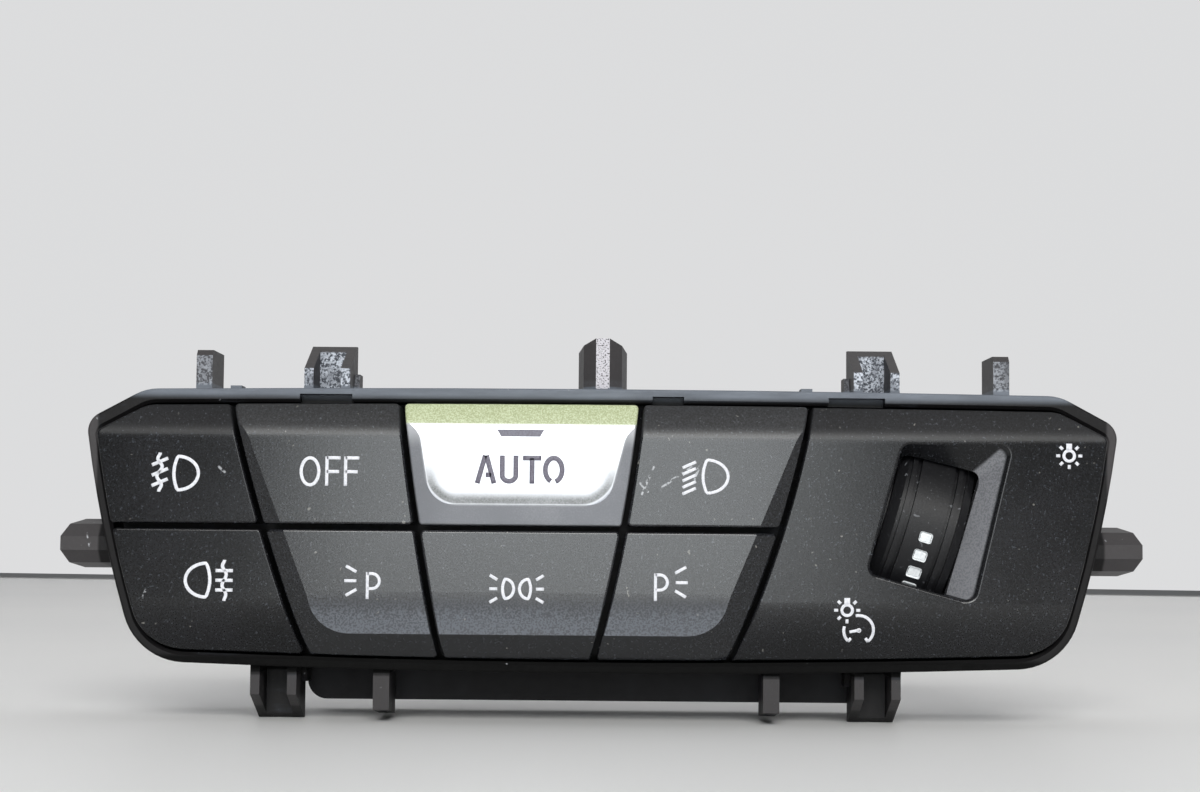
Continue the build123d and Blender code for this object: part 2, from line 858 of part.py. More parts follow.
def front_frame(keys):
    outer = rim_outline()
    wall = slab(outer, rim_front, rim_back) - slab(inside_rim(0), rim_front - 1, rim_back + 1)
    front = wall.faces().sort_by(Axis.Y)[0]
    wall = chamfer(front.inner_wires()[0].edges(), rim_lead_in)
    front = wall.faces().sort_by(Axis.Y)[0]
    wall = fillet(front.outer_wire().edges(), rim_edge_radius)
    body = wall + slab(outer, plate_front, plate_back)
    body += joined([stem_guide(*key) for key in keys])
    body -= joined([plate_windows(*key) for key in keys])
    for x in clip_xs_top:
        body += clip(x, True)
    for x in clip_xs_bottom:
        body += clip(x, False)
    body += joined([top_rib(x) for x in rib_xs_top])
    body += joined([bottom_rib(x) for x in rib_xs_bottom])
    body += guide_post(rim_mid_top - rim_wall / 2, rim_mid_top + post_rise)
    body += side_post(-1) + side_post(1)
    for x in nub_xs:
        edge = rim_edge(x, True)
        z_span = (edge - 1, edge + nub_rise)
        body += block((x - nub_width / 2, x + nub_width / 2), (rim_front + 1.2, rim_front + 4), z_span)
    for low, high in slot_spans:
        edge = rim_mid_top - rim_top_wall
        body -= block((low, high), (rim_front - 1, rim_front + slot_depth), (edge - 1, edge + slot_height))
    body -= joined([hook_window(*place) for place in panel_hooks])
    for x, z in (bulb_lamp, dimmer_lamp):
        half = guide_side / 2 + guide_gap
        body -= block((x - half, x + half), (plate_front - 1, plate_back + 1), (z - half, z + half))
    body -= wheel_room()
    body += bearing_cheek(-left_cheek - cheek_thick, -left_cheek)
    body += bearing_cheek(right_cheek, right_cheek + cheek_thick)
    body += spring_posts()
    body += joined([snap_tongue(x, True) for x in tongue_xs_top])
    body += joined([snap_tongue(x, False) for x in tongue_xs_bottom])
    return body


# Light screen, key mat and circuit board


def cover_outline(inset):
    """The housing behind the rim, smaller by an inset all round."""
    return rim_outline(rim_wall + cover_gap + inset)


def left_of_wheel(gap):
    """Everything on the buttons' side of the leaning wheel."""
    return wheel_place * block((-wide, -gap), (-wide, wide), (-wide, wide))


def light_screen(keys):
    """The white grid that keeps each lamp's light under its own button."""
    screen = slab(cover_outline(cover_wall + board_play), plate_back, mat_front)
    screen &= left_of_wheel(screen_edge)
    for x, z in keys:
        inward = towards_row(z)
        cell = sorted((z - inward * cell_low, z + inward * cell_high))
        screen -= block((x - cell_half, x + cell_half), (plate_back - 1, mat_front + 1), cell)
    return screen


def lamp_places(keys):
    """Where the buttons' lamps stand, each between its stem and the row gap."""
    return [(x, z + towards_row(z) * lamp_rise) for x, z in keys]


def lamp(x, z, grow):
    half = led_width / 2 + grow
    high = led_height / 2 + grow
    return block((x - half, x + half), (mat_back - led_rise, mat_back), (z - high, z + high))


def key_mat(keys):
    """A silicone sheet with a hollow dome under each stem."""
    sheet = slab(cover_outline(cover_wall + board_play), mat_front, mat_back)
    sheet &= left_of_wheel(screen_edge)
    front = mat_front - dome_height()
    for x, z in keys:
        turned = Pos(x, (front + mat_front) / 2, z) * Rot(90, 0, 0)
        sheet += turned * Cone(dome_base / 2, dome_top / 2, dome_height())
        hollow = Cone(dome_base / 2 - dome_wall, dome_top / 2 - dome_wall, mat_back - front - dome_wall)
        sheet -= Pos(x, (front + dome_wall + mat_back) / 2, z) * Rot(90, 0, 0) * hollow
    for x, z in lamp_places(keys):
        half = led_width / 2 + led_hole_play
        high = led_height / 2 + led_hole_play
        sheet -= block((x - half, x + half), (mat_front - 1, mat_back + 1), (z - high, z + high))
    return sheet


def circuit_board():
    board = slab(cover_outline(cover_wall + board_play), mat_back, board_back)
    return board & left_of_wheel(crown_end + board_edge)


def board_lamps(keys):
    places = lamp_places(keys) + [bulb_lamp, dimmer_lamp]
    return Compound(children=[lamp(x, z, 0) for x, z in places])


def controller_chip():
    half = chip_side / 2
    low = board_back + chip_lift
    top = low + chip_thick
    chip = block((chip_x - half, chip_x + half), (low, top), (chip_z - half, chip_z + half))
    pitch = chip_side / (chip_leads + 1)
    middle = low + chip_thick / 2
    for k in range(chip_leads):
        along = (k + 1) * pitch - half
        span = (along - lead_width / 2, along + lead_width / 2)
        for side in (-1, 1):
            foot = sorted((side * (half - 0.3), side * (half + lead_reach)))
            across_x = [chip_x + v for v in foot]
            across_z = [chip_z + v for v in foot]
            chip += block(across_x, (board_back, middle), [chip_z + v for v in span])
            chip += block([chip_x + v for v in span], (board_back, middle), across_z)
    return chip


def capacitor(x, z):
    """An aluminium can with a crimped waist on its square base."""
    base_half = capacitor_radius + 0.2
    base = block((x - base_half, x + base_half), (board_back, board_back + 0.9), (z - base_half, z + base_half))
    profile = [
        (0, 0.8),
        (capacitor_radius, 0.8),
        (capacitor_radius, 1.4),
        (capacitor_radius - 0.3, 1.7),
        (capacitor_radius, 2.0),
        (capacitor_radius, capacitor_length - 0.3),
        (capacitor_radius - 0.3, capacitor_length),
        (0, capacitor_length),
    ]
    can = revolve(Plane.XZ * make_face(Polyline(*profile, close=True)), Axis.Z)
    return base + Pos(x, board_back, z) * Rot(-90, 0, 0) * can


def light_barrier():
    """The fork on the board's edge that counts the wheel's crown teeth."""
    edge = crown_end + board_edge
    depth = (mat_back - fork_rise - wheel_depth, mat_back - wheel_depth)
    half = fork_gap / 2 + fork_arm
    fork = block((-edge - fork_base, -edge), depth, (fork_centre - half, fork_centre + half))
    for side in (-1, 1):
        z = sorted((fork_centre + side * fork_gap / 2, fork_centre + side * half))
        fork += block((-edge - 1, -edge + fork_reach), depth, z)
    return wheel_place * fork


def pin_places():
    """x and z of each connector pin."""
    places = []
    for column in range(pin_columns):
        x = header_x + (column - (pin_columns - 1) / 2) * pin_pitch
        places += [(x, header_z - pin_row_gap / 2), (x, header_z + pin_row_gap / 2)]
    return places


def pins(near, far):
    half = pin_side / 2
    return [block((x - half, x + half), (near, far), (z - half, z + half)) for x, z in pin_places()]


def connector_pins():
    tips = [chamfer(pin.faces().sort_by(Axis.Y)[-1].edges(), pin_side / 4) for pin in pins(board_back, pin_tip)]
    return Compound(children=tips)


def header_outline(grow):
    return Pos(header_x, header_z) * Rectangle(header_width + 2 * grow, header_height + 2 * grow)


def connector_header():
    """The socket body on the board that reaches out through the cover."""
    body = slab(header_outline(0), board_back, header_back)
    body -= slab(header_outline(-header_wall), header_floor, header_back + 1)
    top = header_z + header_height / 2
    half = header_latch / 2
    start = header_back - latch_length
    latch = [(start, top - 0.3), (start, top + 0.9), (start + 1.2, top + 0.9), (start + 2.4, top - 0.3)]
    body += side_profile(latch, (header_x - half, header_x + half))
    for side in (-1, 1):
        x = header_x + side * header_width / 4
        body -= block((x - 0.7, x + 0.7), (header_back - 6, header_back + 1), (top - header_wall - 0.1, top + 1))
    return body - joined(pins(board_back - 1, header_floor + 1))


def guide_rod(points):
    """A square light guide through a list of corners."""
    half = guide_side / 2
    runs = []
    for start, end in zip(points, points[1:]):
        spans = [(min(a, b) - half, max(a, b) + half) for a, b in zip(start, end)]
        runs.append(block(*spans))
    return joined(runs)


def symbol_guide(lamp_place, mark, arm_end, arm_z):
    """A light guide from a lamp on the board, round the wheel, to the back of a mark."""
    half = guide_side / 2
    near = mat_back - led_rise - guide_gap - half
    far = wing_face + cap_skin + guide_tip_gap + half
    points = [
        (lamp_place[0], near, lamp_place[1]),
        (lamp_place[0], guide_turn, lamp_place[1]),
        (lamp_place[0], guide_turn, arm_z),
        (arm_end, guide_turn, arm_z),
        (arm_end, guide_turn, mark[1]),
        (mark[0], guide_turn, mark[1]),
        (mark[0], far, mark[1]),
    ]
    return guide_rod(points)


# Rear cover


def belly(inset, front, back):
    """The deeper lower part of the cover behind the clips, its floor falling towards the back."""
    slope = (belly_back_z - belly_front_z) / (cover_back - belly_front)
    low = belly_front_z + inset + slope * (front - belly_front)
    high = belly_front_z + inset + slope * (back - belly_front)
    profile = [(front, low), (back, high), (back, belly_top_z), (front, belly_top_z)]
    half = belly_half - inset
    solid = side_profile(profile, (-half, half))
    low_edges = solid.edges().filter_by(GeomType.LINE).group_by(Axis.Z)[:2]
    runs = [edge for group in low_edges for edge in group if abs(edge.tangent_at(0).Y) > 0.9]
    return fillet(runs, belly_corner - inset / 2)


def rear_cover():
    outer = slab(cover_outline(0), plate_back, cover_back) + belly(0, belly_front, cover_back)
    inner = slab(cover_outline(cover_wall), plate_back - 1, cover_inside)
    inner += belly(cover_wall, belly_front + cover_wall, cover_inside)
    body = outer - inner
    for x, z in board_posts:
        length = cover_inside + 0.5 - board_back
        post = Rot(90, 0, 0) * Cylinder(board_post / 2, length)
        body += Pos(x, board_back + length / 2, z) * post
    body += stop_posts()
    collar = slab(header_outline(header_play + collar_wall), cover_inside, cover_back + collar_length)
    body += collar
    body -= slab(header_outline(header_play), cover_inside - 1, cover_back + collar_length + 1)
    for x in cover_rib_xs:
        half = cover_rib_width / 2
        body += block((x - half, x + half), (cover_back - 0.5, cover_back + cover_rib_rise), (8.0, 34.0))
    body += joined([cover_catch(x, True) for x in tongue_xs_top])
    body += joined([cover_catch(x, False) for x in tongue_xs_bottom])
    return body


def main():
    os.makedirs("parts", exist_ok=True)
    pillow = pillow_master()
    wing = wing_master()
    auto = auto_master(pillow)
    places = key_places()
    keys = [key_centre(*place) for place in places.values()]
    nodes = {}
    for name, place in places.items():
        master, face = pillow, 0
        if name.startswith("fog"):
            master, face = wing, wing_face
        if name == "auto_button":
            master = auto
        nodes[name] = key_cap(*place, master, face)
    nodes["wheel_panel"] = wheel_panel(wing)
    nodes["front_frame"] = front_frame(keys)
    nodes["dimmer_wheel"] = dimmer_wheel()
    nodes["wheel_axle"] = wheel_axle()
    nodes["detent_spring"] = detent_spring()
    nodes["light_screen"] = light_screen(keys)
    nodes["key_mat"] = key_mat(keys)
    nodes["circuit_board"] = circuit_board()
    nodes["board_lamps"] = board_lamps(keys)
    nodes["controller_chip"] = controller_chip()
    nodes["capacitors"] = Compound(children=[capacitor(x, z) for x, z in capacitor_places])
    nodes["light_barrier"] = light_barrier()
    nodes["connector_header"] = connector_header()
    nodes["connector_pins"] = connector_pins()
    nodes["bulb_light_guide"] = symbol_guide(bulb_lamp, bulb_mark, bulb_arm_end, bulb_arm_z)
    nodes["dimmer_light_guide"] = symbol_guide(dimmer_lamp, dimmer_mark, dimmer_mark[0], dimmer_lamp[1])
    nodes["rear_cover"] = rear_cover()
    for name, shape in nodes.items():
        export_step(frame_shift * shape, f"parts/{name}.step")


main()
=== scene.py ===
import bpy
import json
import math
from mathutils import Matrix, Vector

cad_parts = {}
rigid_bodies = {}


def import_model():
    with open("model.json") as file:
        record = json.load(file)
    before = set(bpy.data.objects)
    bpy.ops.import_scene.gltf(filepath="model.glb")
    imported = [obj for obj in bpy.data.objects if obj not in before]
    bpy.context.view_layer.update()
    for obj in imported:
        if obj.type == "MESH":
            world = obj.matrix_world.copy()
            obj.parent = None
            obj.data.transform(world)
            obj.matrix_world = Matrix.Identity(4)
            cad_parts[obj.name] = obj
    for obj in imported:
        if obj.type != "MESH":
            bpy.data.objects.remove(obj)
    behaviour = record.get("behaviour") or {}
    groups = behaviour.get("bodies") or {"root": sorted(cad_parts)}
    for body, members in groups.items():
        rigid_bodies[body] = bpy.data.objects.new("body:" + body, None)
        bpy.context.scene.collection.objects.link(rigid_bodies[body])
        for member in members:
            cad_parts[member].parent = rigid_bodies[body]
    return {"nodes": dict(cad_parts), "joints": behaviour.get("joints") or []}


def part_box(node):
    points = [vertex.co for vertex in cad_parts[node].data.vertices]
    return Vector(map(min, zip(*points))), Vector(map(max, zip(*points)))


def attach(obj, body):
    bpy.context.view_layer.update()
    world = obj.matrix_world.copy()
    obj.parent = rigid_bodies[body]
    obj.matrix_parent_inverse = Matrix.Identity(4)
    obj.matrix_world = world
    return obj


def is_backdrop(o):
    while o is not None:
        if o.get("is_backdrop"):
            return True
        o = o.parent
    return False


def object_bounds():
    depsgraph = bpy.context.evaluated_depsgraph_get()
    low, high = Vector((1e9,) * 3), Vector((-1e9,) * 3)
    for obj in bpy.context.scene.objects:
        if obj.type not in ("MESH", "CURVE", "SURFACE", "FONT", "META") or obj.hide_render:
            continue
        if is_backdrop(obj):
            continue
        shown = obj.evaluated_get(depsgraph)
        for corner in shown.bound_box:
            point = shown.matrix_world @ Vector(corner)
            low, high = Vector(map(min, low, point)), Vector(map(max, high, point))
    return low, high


# Headlight switch on a pale table, seen face on
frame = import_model()
low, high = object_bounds()
mm = 0.001
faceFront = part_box("off_button")[0].y  # the foremost plane of the keys
print("frame loaded:", len(frame["nodes"]), "nodes")


# Selection and mesh helpers

def deselectAll():
    for o in bpy.context.selected_objects:
        o.select_set(False)


def makeActive(o):
    deselectAll()
    bpy.context.view_layer.objects.active = o
    o.select_set(True)


def applyPlace(o):
    makeActive(o)
    bpy.ops.object.transform_apply(location=True, rotation=True, scale=True)


def applyModifiers(o):
    makeActive(o)
    for modifier in list(o.modifiers):
        bpy.ops.object.modifier_apply(modifier=modifier.name)


def outwards(o):
    makeActive(o)
    bpy.ops.object.mode_set(mode="EDIT")
    bpy.ops.mesh.select_all(action="SELECT")
    bpy.ops.mesh.remove_doubles(threshold=1e-7)
    bpy.ops.mesh.normals_make_consistent(inside=False)
    bpy.ops.object.mode_set(mode="OBJECT")


def newBlock(name, size):
    # a block round the origin, with none of its corners selected
    deselectAll()
    bpy.ops.mesh.primitive_cube_add(size=1)
    o = bpy.context.active_object
    o.name = name
    o.scale = size
    applyPlace(o)
    bpy.ops.object.mode_set(mode="EDIT")
    bpy.ops.mesh.select_all(action="DESELECT")
    bpy.ops.object.mode_set(mode="OBJECT")
    return o


def rgb(r, g, b):
    # a colour as picked on screen, 0 to 255, turned linear
    def one(v):
        v /= 255
        return v / 12.92 if v <= 0.04045 else ((v + 0.055) / 1.055) ** 2.4
    return (one(r), one(g), one(b), 1)


# Shader maths

class Wire:  # a socket that can be added, multiplied and compared
    def __init__(self, finish, socket):
        self.finish = finish
        self.socket = socket

    def math(self, operation, *values, clamp=False):
        settings = {"operation": operation, "use_clamp": clamp}
        return self.finish.add("ShaderNodeMath", settings, dict(enumerate(values)))

    def __add__(self, other):
        return self.math("ADD", self, other)

    def __radd__(self, other):
        return self.math("ADD", other, self)

    def __sub__(self, other):
        return self.math("SUBTRACT", self, other)

    def __rsub__(self, other):
        return self.math("SUBTRACT", other, self)

    def __mul__(self, other):
        return self.math("MULTIPLY", self, other)

    def __rmul__(self, other):
        return self.math("MULTIPLY", other, self)

    def __neg__(self):
        return 0 - self

    def higher(self, other):
        return self.math("MAXIMUM", self, other)

    def lower(self, other):
        return self.math("MINIMUM", self, other)

    def clamp(self):
        return self.math("ADD", self, 0, clamp=True)

    def root(self):
        return self.math("SQRT", self)

    def size(self):
        return self.math("ABSOLUTE", self)

    def between(self, a, b):
        # 0 up to a, 1 from b on, smooth
        return self.finish.add("ShaderNodeMapRange", {"interpolation_type": "SMOOTHSTEP"},
                               {"Value": self, "From Min": a, "From Max": b})

    def span(self, start, end):
        # rises over the first pair of values and falls over the second
        return self.between(*start) * (1 - self.between(*end))


class Finish:  # one material and its nodes
    inputs = {"colour": "Base Color", "rough": "Roughness", "metal": "Metallic", "normal": "Normal",
              "level": "Specular IOR Level", "ior": "IOR", "through": "Transmission Weight",
              "inside": "Subsurface Weight", "glow": "Emission Color", "glowStrength": "Emission Strength"}

    def __init__(self, name):
        self.mat = bpy.data.materials.new(name)
        self.mat.use_nodes = True
        self.tree = self.mat.node_tree
        self.shader = self.tree.nodes["Principled BSDF"]
        self.place = self.add("ShaderNodeTexCoord", out="Object")

    def plug(self, socket, value):
        if isinstance(value, Wire):
            self.tree.links.new(value.socket, socket)
        else:
            socket.default_value = value

    def add(self, kind, settings=None, sockets=None, out=0):
        # sockets are given by name, or by number where a name stands for more than one
        node = self.tree.nodes.new(kind)
        for key, value in (settings or {}).items():
            setattr(node, key, value)
        for key, value in (sockets or {}).items():
            self.plug(node.inputs[key], value)
        return Wire(self, node.outputs[out])

    def split(self, vector):
        first = self.add("ShaderNodeSeparateXYZ", None, {"Vector": vector})
        return [Wire(self, socket) for socket in first.socket.node.outputs]

    def axes(self):
        # x, y and z of a place on the part, in mm
        return [axis * 1000 for axis in self.split(self.place)]

    def normalAxes(self):
        return self.split(self.add("ShaderNodeNewGeometry", out="Normal"))

    def noise(self, size, detail=2.0, rough=0.5):
        # size is the width of one blotch, in metres
        return self.add("ShaderNodeTexNoise", None, {
            "Vector": self.place, "Scale": 0.5 / size, "Detail": detail, "Roughness": rough})

    def streaks(self, along, across, detail):
        # noise drawn out along x, with its scale along and across
        drawn = self.add("ShaderNodeMapping", None, {"Vector": self.place, "Scale": (along, across, across)})
        return self.add("ShaderNodeTexNoise", None, {
            "Vector": drawn, "Scale": 1.0, "Detail": detail, "Roughness": 0.6})

    def mix(self, factor, a, b):
        # inputs 6 and 7 are the two colours, output 2 is their mixture
        return self.add("ShaderNodeMix", {"data_type": "RGBA"}, {0: factor, 6: a, 7: b}, out=2)

    def bump(self, height, distance, strength):
        return self.add("ShaderNodeBump", None, {
            "Strength": strength, "Distance": distance, "Height": height})

    def set(self, **values):
        for key, value in values.items():
            self.plug(self.shader.inputs[self.inputs[key]], value)
        return self


def dress(finish, *nodes):
    for node in nodes:
        o = frame["nodes"][node]
        o.data.materials.clear()
        o.data.materials.append(finish.mat)


# Finishes. Zones and scuffs are in mm, the widths of blotches and bumps in metres

scuffLook = {
    "colour": rgb(170, 172, 176),
    "core": 0.25,  # share of a line's width that is solid
    "grit": 0.00025,
    "gritShare": (0.42, 0.6),
}


def scratches(f, x, z, lines, width):
    # a soft mask along short straight lines on the face, from (x, z) to (x, z)
    total = None
    for (ax, az), (bx, bz) in lines:
        dx, dz = bx - ax, bz - az
        px, pz = x - ax, z - az
        along = ((px * dx + pz * dz) * (1 / (dx * dx + dz * dz))).clamp()
        offX, offZ = px - along * dx, pz - along * dz
        away = (offX * offX + offZ * offZ).root()
        mask = 1 - away.between(width * scuffLook["core"], width)
        total = mask if total is None else total.higher(mask)
    return total * f.noise(scuffLook["grit"], 3).between(*scuffLook["gritShare"])


capLook = {
    "colour": rgb(18, 18, 20),
    "colourDark": rgb(13, 13, 14),
    "blotch": 0.006,
    "grain": 0.00016,
    "mottle": 0.00011,
    "mottleShare": (0.36, 0.66),
    # painted glints: lighter specks of the grain, with a fine mottled sheen
    "sparkle": rgb(80, 84, 91),
    "sparkleShare": (0.63, 0.71),
    "keyMottle": 0.14,
    "wingMottle": 0.06,
    "rough": 0.17,
    "roughTop": 0.68,  # where the faces slope back at the top
    "topHeight": (34.7, 36.8),
    "foot": rgb(84, 88, 95),  # painted sheen on the foot of each key's face, just over its curled edge
    "footHeight": (11.8, 16.8),
    "curl": (0.25, 0.45),  # how far a face may look down before the painted sheen ends
    "flank": (0.2, 0.35),  # and how far aside
    "slope": rgb(118, 119, 123),  # lit slope at the right of the thumb recess
    "slopeLean": (0.12, 0.3),
    "slopeDepth": ((-15.95, -15.7), (-12.2, -12.0)),
    "slopeReach": ((33.0, 35.0), (51.0, 51.5)),
    "dust": rgb(150, 148, 142),
    "dustGrain": 0.00035,
    "dustShare": (0.74, 0.78),
    "dustPatch": 0.004,
    "scuffWidth": 0.22,
    "scuffs": [((7.4, 29.2), (10.9, 31.6)), ((8.6, 30.1), (10.2, 31.0)), ((11.9, 31.7), (11.3, 30.2)),
               ((11.6, 31.3), (12.2, 32.0)), ((4.9, 28.3), (6.3, 31.6)), ((4.7, 29.6), (5.6, 28.6)),
               ((-46.9, 31.2), (-46.2, 30.6)), ((-56.0, 15.0), (-55.5, 16.1))],
}


def capPlastic(name, scuffed=False, key=True, recess=False, level=0.48):
    look = capLook
    f = Finish(name)
    x, y, z = f.axes()
    grain = f.noise(look["grain"], 2, 0.6)
    speck = grain.between(*look["sparkleShare"])
    mottle = f.noise(look["mottle"], 1).between(*look["mottleShare"])
    blotch = f.noise(look["blotch"], 3, 0.6)
    colour = f.mix(blotch.between(0.35, 0.65), look["colourDark"], look["colour"])
    if key:
        aside, _, up = f.normalAxes()
        # painted sheen on the lower part of each key's face, above its curled edge
        foot = (1 - z.between(*look["footHeight"])) * (1 - (-up).between(*look["curl"]))
        foot = foot * (1 - aside.size().between(*look["flank"]))
        rubbed = (foot * (0.25 + blotch * 0.5 + mottle * 0.8)).clamp()
        colour = f.mix(rubbed, colour, look["foot"])
    if recess:
        aside = f.normalAxes()[0]
        slope = (-aside).between(*look["slopeLean"]) * y.span(*look["slopeDepth"])
        slope = slope * x.span(*look["slopeReach"])
        lit = (slope * (0.45 + blotch * 0.5 + mottle * 0.4)).clamp()
        colour = f.mix(lit, colour, look["slope"])
    mottling = look["keyMottle"] if key else look["wingMottle"]
    # painted glints on the lighter specks of the grain, and a fine mottled painted sheen
    colour = f.mix((speck * 0.45 + mottle * mottling).clamp(), colour, look["sparkle"])
    dusty = f.noise(look["dustGrain"], 1).between(*look["dustShare"])
    dusty = dusty * f.noise(look["dustPatch"], 1).between(0.45, 0.6)
    colour = f.mix(dusty * 0.42, colour, look["dust"])
    if scuffed:
        scuffs = scratches(f, x, z, look["scuffs"], look["scuffWidth"])
        colour = f.mix(scuffs * 0.75, colour, scuffLook["colour"])
    rough = look["rough"] + blotch * 0.06 - speck * 0.05
    rough = rough + z.between(*look["topHeight"]) * (look["roughTop"] - look["rough"])
    return f.set(colour=colour, rough=rough, level=level, normal=f.bump(grain, 0.00001, 0.4))


frameLook = {
    "colour": rgb(19, 18, 19),
    "colourWorn": rgb(46, 49, 55),
    "grain": 0.00022,
    "wear": 0.0035,
    "wearShare": (0.28, 0.42),
    "rough": 0.4,
    "level": 0.16,
    "top": rgb(112, 118, 127),  # painted highlight on the rim's upper side
    "topHeight": ((39.6, 40.6), (42.3, 42.8)),
    "outer": rgb(66, 64, 65),  # painted sheen: a lighter grey on what stands out beyond the rim: above, at the sides and at its feet
    "outerHeight": (41.6, 41.9),
    "outerReach": (62.2, 62.6),
    "feetHeight": (5.6, 5.9),
    "feetDepth": (-9.5, -8.5),
    "post": rgb(190, 188, 194),  # painted glint on the narrow front of the middle post
    "postHeight": (41.4, 41.6),
    "postHalf": (0.83, 0.86),
    "postDepth": (-12.1, -11.9),
    "postGrain": 0.0001,
    "pad": rgb(196, 202, 212),  # painted glints on the fronts of the upper clips, duller ones on the fins
    "padDark": rgb(62, 66, 74),
    "padFacing": (0.85, 0.95),
    "padHeight": (41.4, 41.7),
    "padTop": (46.1, 46.4),
    "padSpot": 0.00013,
    "padPatch": 0.0011,
    "clipReach": ((30.3, 30.5), (38.5, 38.7)),
    "stepHeight": (43.8, 44.0),
    "stepDepth": (-7.5, -7.2),
    "finReach": (47.5, 47.7),
    "under": rgb(7, 7, 7),  # painted shade on the lower rim, just under the keys
    "underHeight": ((6.0, 6.2), (7.8, 8.6)),
    "nick": rgb(150, 152, 156),
    "nickGrain": 0.0004,
    "nickShare": (0.72, 0.76),
    "scuffWidth": 0.14,
    "scuffs": [((-63.85, 23.0), (-63.5, 21.4)), ((-63.7, 22.3), (-63.4, 21.8))],
}


def framePlastic():
    look = frameLook
    f = Finish("framePlastic")
    x, y, z = f.axes()
    aside = x.size()
    grain = f.noise(look["grain"], 3, 0.65)
    wear = f.noise(look["wear"], 4, 0.7)
    streak = f.streaks(120, 900, 4)
    worn = (wear * streak).between(*look["wearShare"])
    colour = f.mix(worn * 0.55, look["colour"], look["colourWorn"])
    # painted highlight on the rim's upper side, streaked
    top = z.span(*look["topHeight"])
    colour = f.mix(top * (0.45 + streak * 0.7), colour, look["top"])
    # painted sheen: a lighter grey on what stands out beyond the rim and on its feet
    feet = (1 - z.between(*look["feetHeight"])) * (1 - y.between(*look["feetDepth"]))
    outer = z.between(*look["outerHeight"]).higher(aside.between(*look["outerReach"])).higher(feet * 0.75)
    colour = f.mix(outer * (0.75 + grain * 0.3), colour, look["outer"])
    # painted glint on the flat front of the middle post
    post = z.between(*look["postHeight"]) * (1 - aside.between(*look["postHalf"]))
    post = post * (1 - y.between(*look["postDepth"]))
    colour = f.mix(post * f.noise(look["postGrain"]).between(0.36, 0.5), colour, look["post"])
    # painted glints on the fronts of the upper clips, duller ones on the fins
    facing = (-f.normalAxes()[1]).between(*look["padFacing"]) * z.between(*look["padHeight"])
    behind = (1 - y.between(*look["stepDepth"])) * z.between(*look["stepHeight"])
    clip = facing * aside.span(*look["clipReach"]) * (1 - behind) * (1 - z.between(*look["padTop"]))
    fin = facing * aside.between(*look["finReach"])
    spots = f.noise(look["padSpot"], 2, 0.6).between(0.4, 0.58)
    patches = f.noise(look["padPatch"], 2, 0.6).between(0.3, 0.66)
    pad = f.mix((spots * (0.3 + patches * 0.7)).clamp(), look["padDark"], look["pad"])
    colour = f.mix((clip * 0.9 + fin * 0.4).clamp(), colour, pad)
    # painted shade on the lower rim, just under the keys
    under = z.span(*look["underHeight"])
    colour = f.mix(under, colour, look["under"])
    nicks = f.noise(look["nickGrain"]).between(*look["nickShare"]) * wear.between(0.5, 0.6)
    colour = f.mix(nicks * 0.8, colour, look["nick"])
    scuffs = scratches(f, x, z, look["scuffs"], look["scuffWidth"])
    colour = f.mix(scuffs * 0.8, colour, scuffLook["colour"])
    rough = look["rough"] + grain * 0.2 + worn * 0.08 + under * 0.4
    return f.set(colour=colour, rough=rough, level=look["level"], normal=f.bump(grain, 0.00003, 0.7))


silverLook = {
    "paint": rgb(203, 205, 209),
    "paintShade": rgb(184, 186, 190),
    "flake": 0.00009,
    "cloud": 0.004,
    "metal": 0.6,
    "rough": 0.33,
    "skirt": rgb(128, 130, 135),  # outside the U-shaped ridge
    "skirtEdge": (-0.3, 0.2),
    "skirtHeight": (33.5, 36.5),
    "band": rgb(88, 89, 89),  # painted shade just inside the ridge
    "bandWidth": ((-0.1, 0.2), (0.5, 2.0)),
    "bandHeight": (28.5, 33.5),
    # painted reflection: an olive tint on the top facet
    "topTint": rgb(150, 158, 120),
    "topTintLight": rgb(182, 191, 157),
    "topHeight": (36.55, 36.9),
    # the ridge, (x, z): the top and foot of its left and right flanks, its base and corner
    "left": ((-23.7, 44.0), (-20.9, 26.88)),
    "right": ((5.1, 44.0), (0.75, 26.88)),
    "base": 26.88,
    "corner": 3.2,
}


def flankDistance(x, z, top, foot, side):
    # how far inside a flank a place lies
    dx, dz = top[0] - foot[0], top[1] - foot[1]
    length = math.hypot(dx, dz)
    return ((x - foot[0]) * (dz / length) - (z - foot[1]) * (dx / length)) * side


def ridgeDistance(x, z):
    # how far inside the ridge a place lies, with its lower corners rounded
    corner = silverLook["corner"]
    left = flankDistance(x, z, *silverLook["left"], 1)
    right = flankDistance(x, z, *silverLook["right"], -1)
    flank = left.lower(right)
    base = z - silverLook["base"]
    nearFlank = (corner - flank).higher(0)
    nearBase = (corner - base).higher(0)
    inCorner = corner - (nearFlank * nearFlank + nearBase * nearBase).root()
    return inCorner.lower(flank.lower(base))


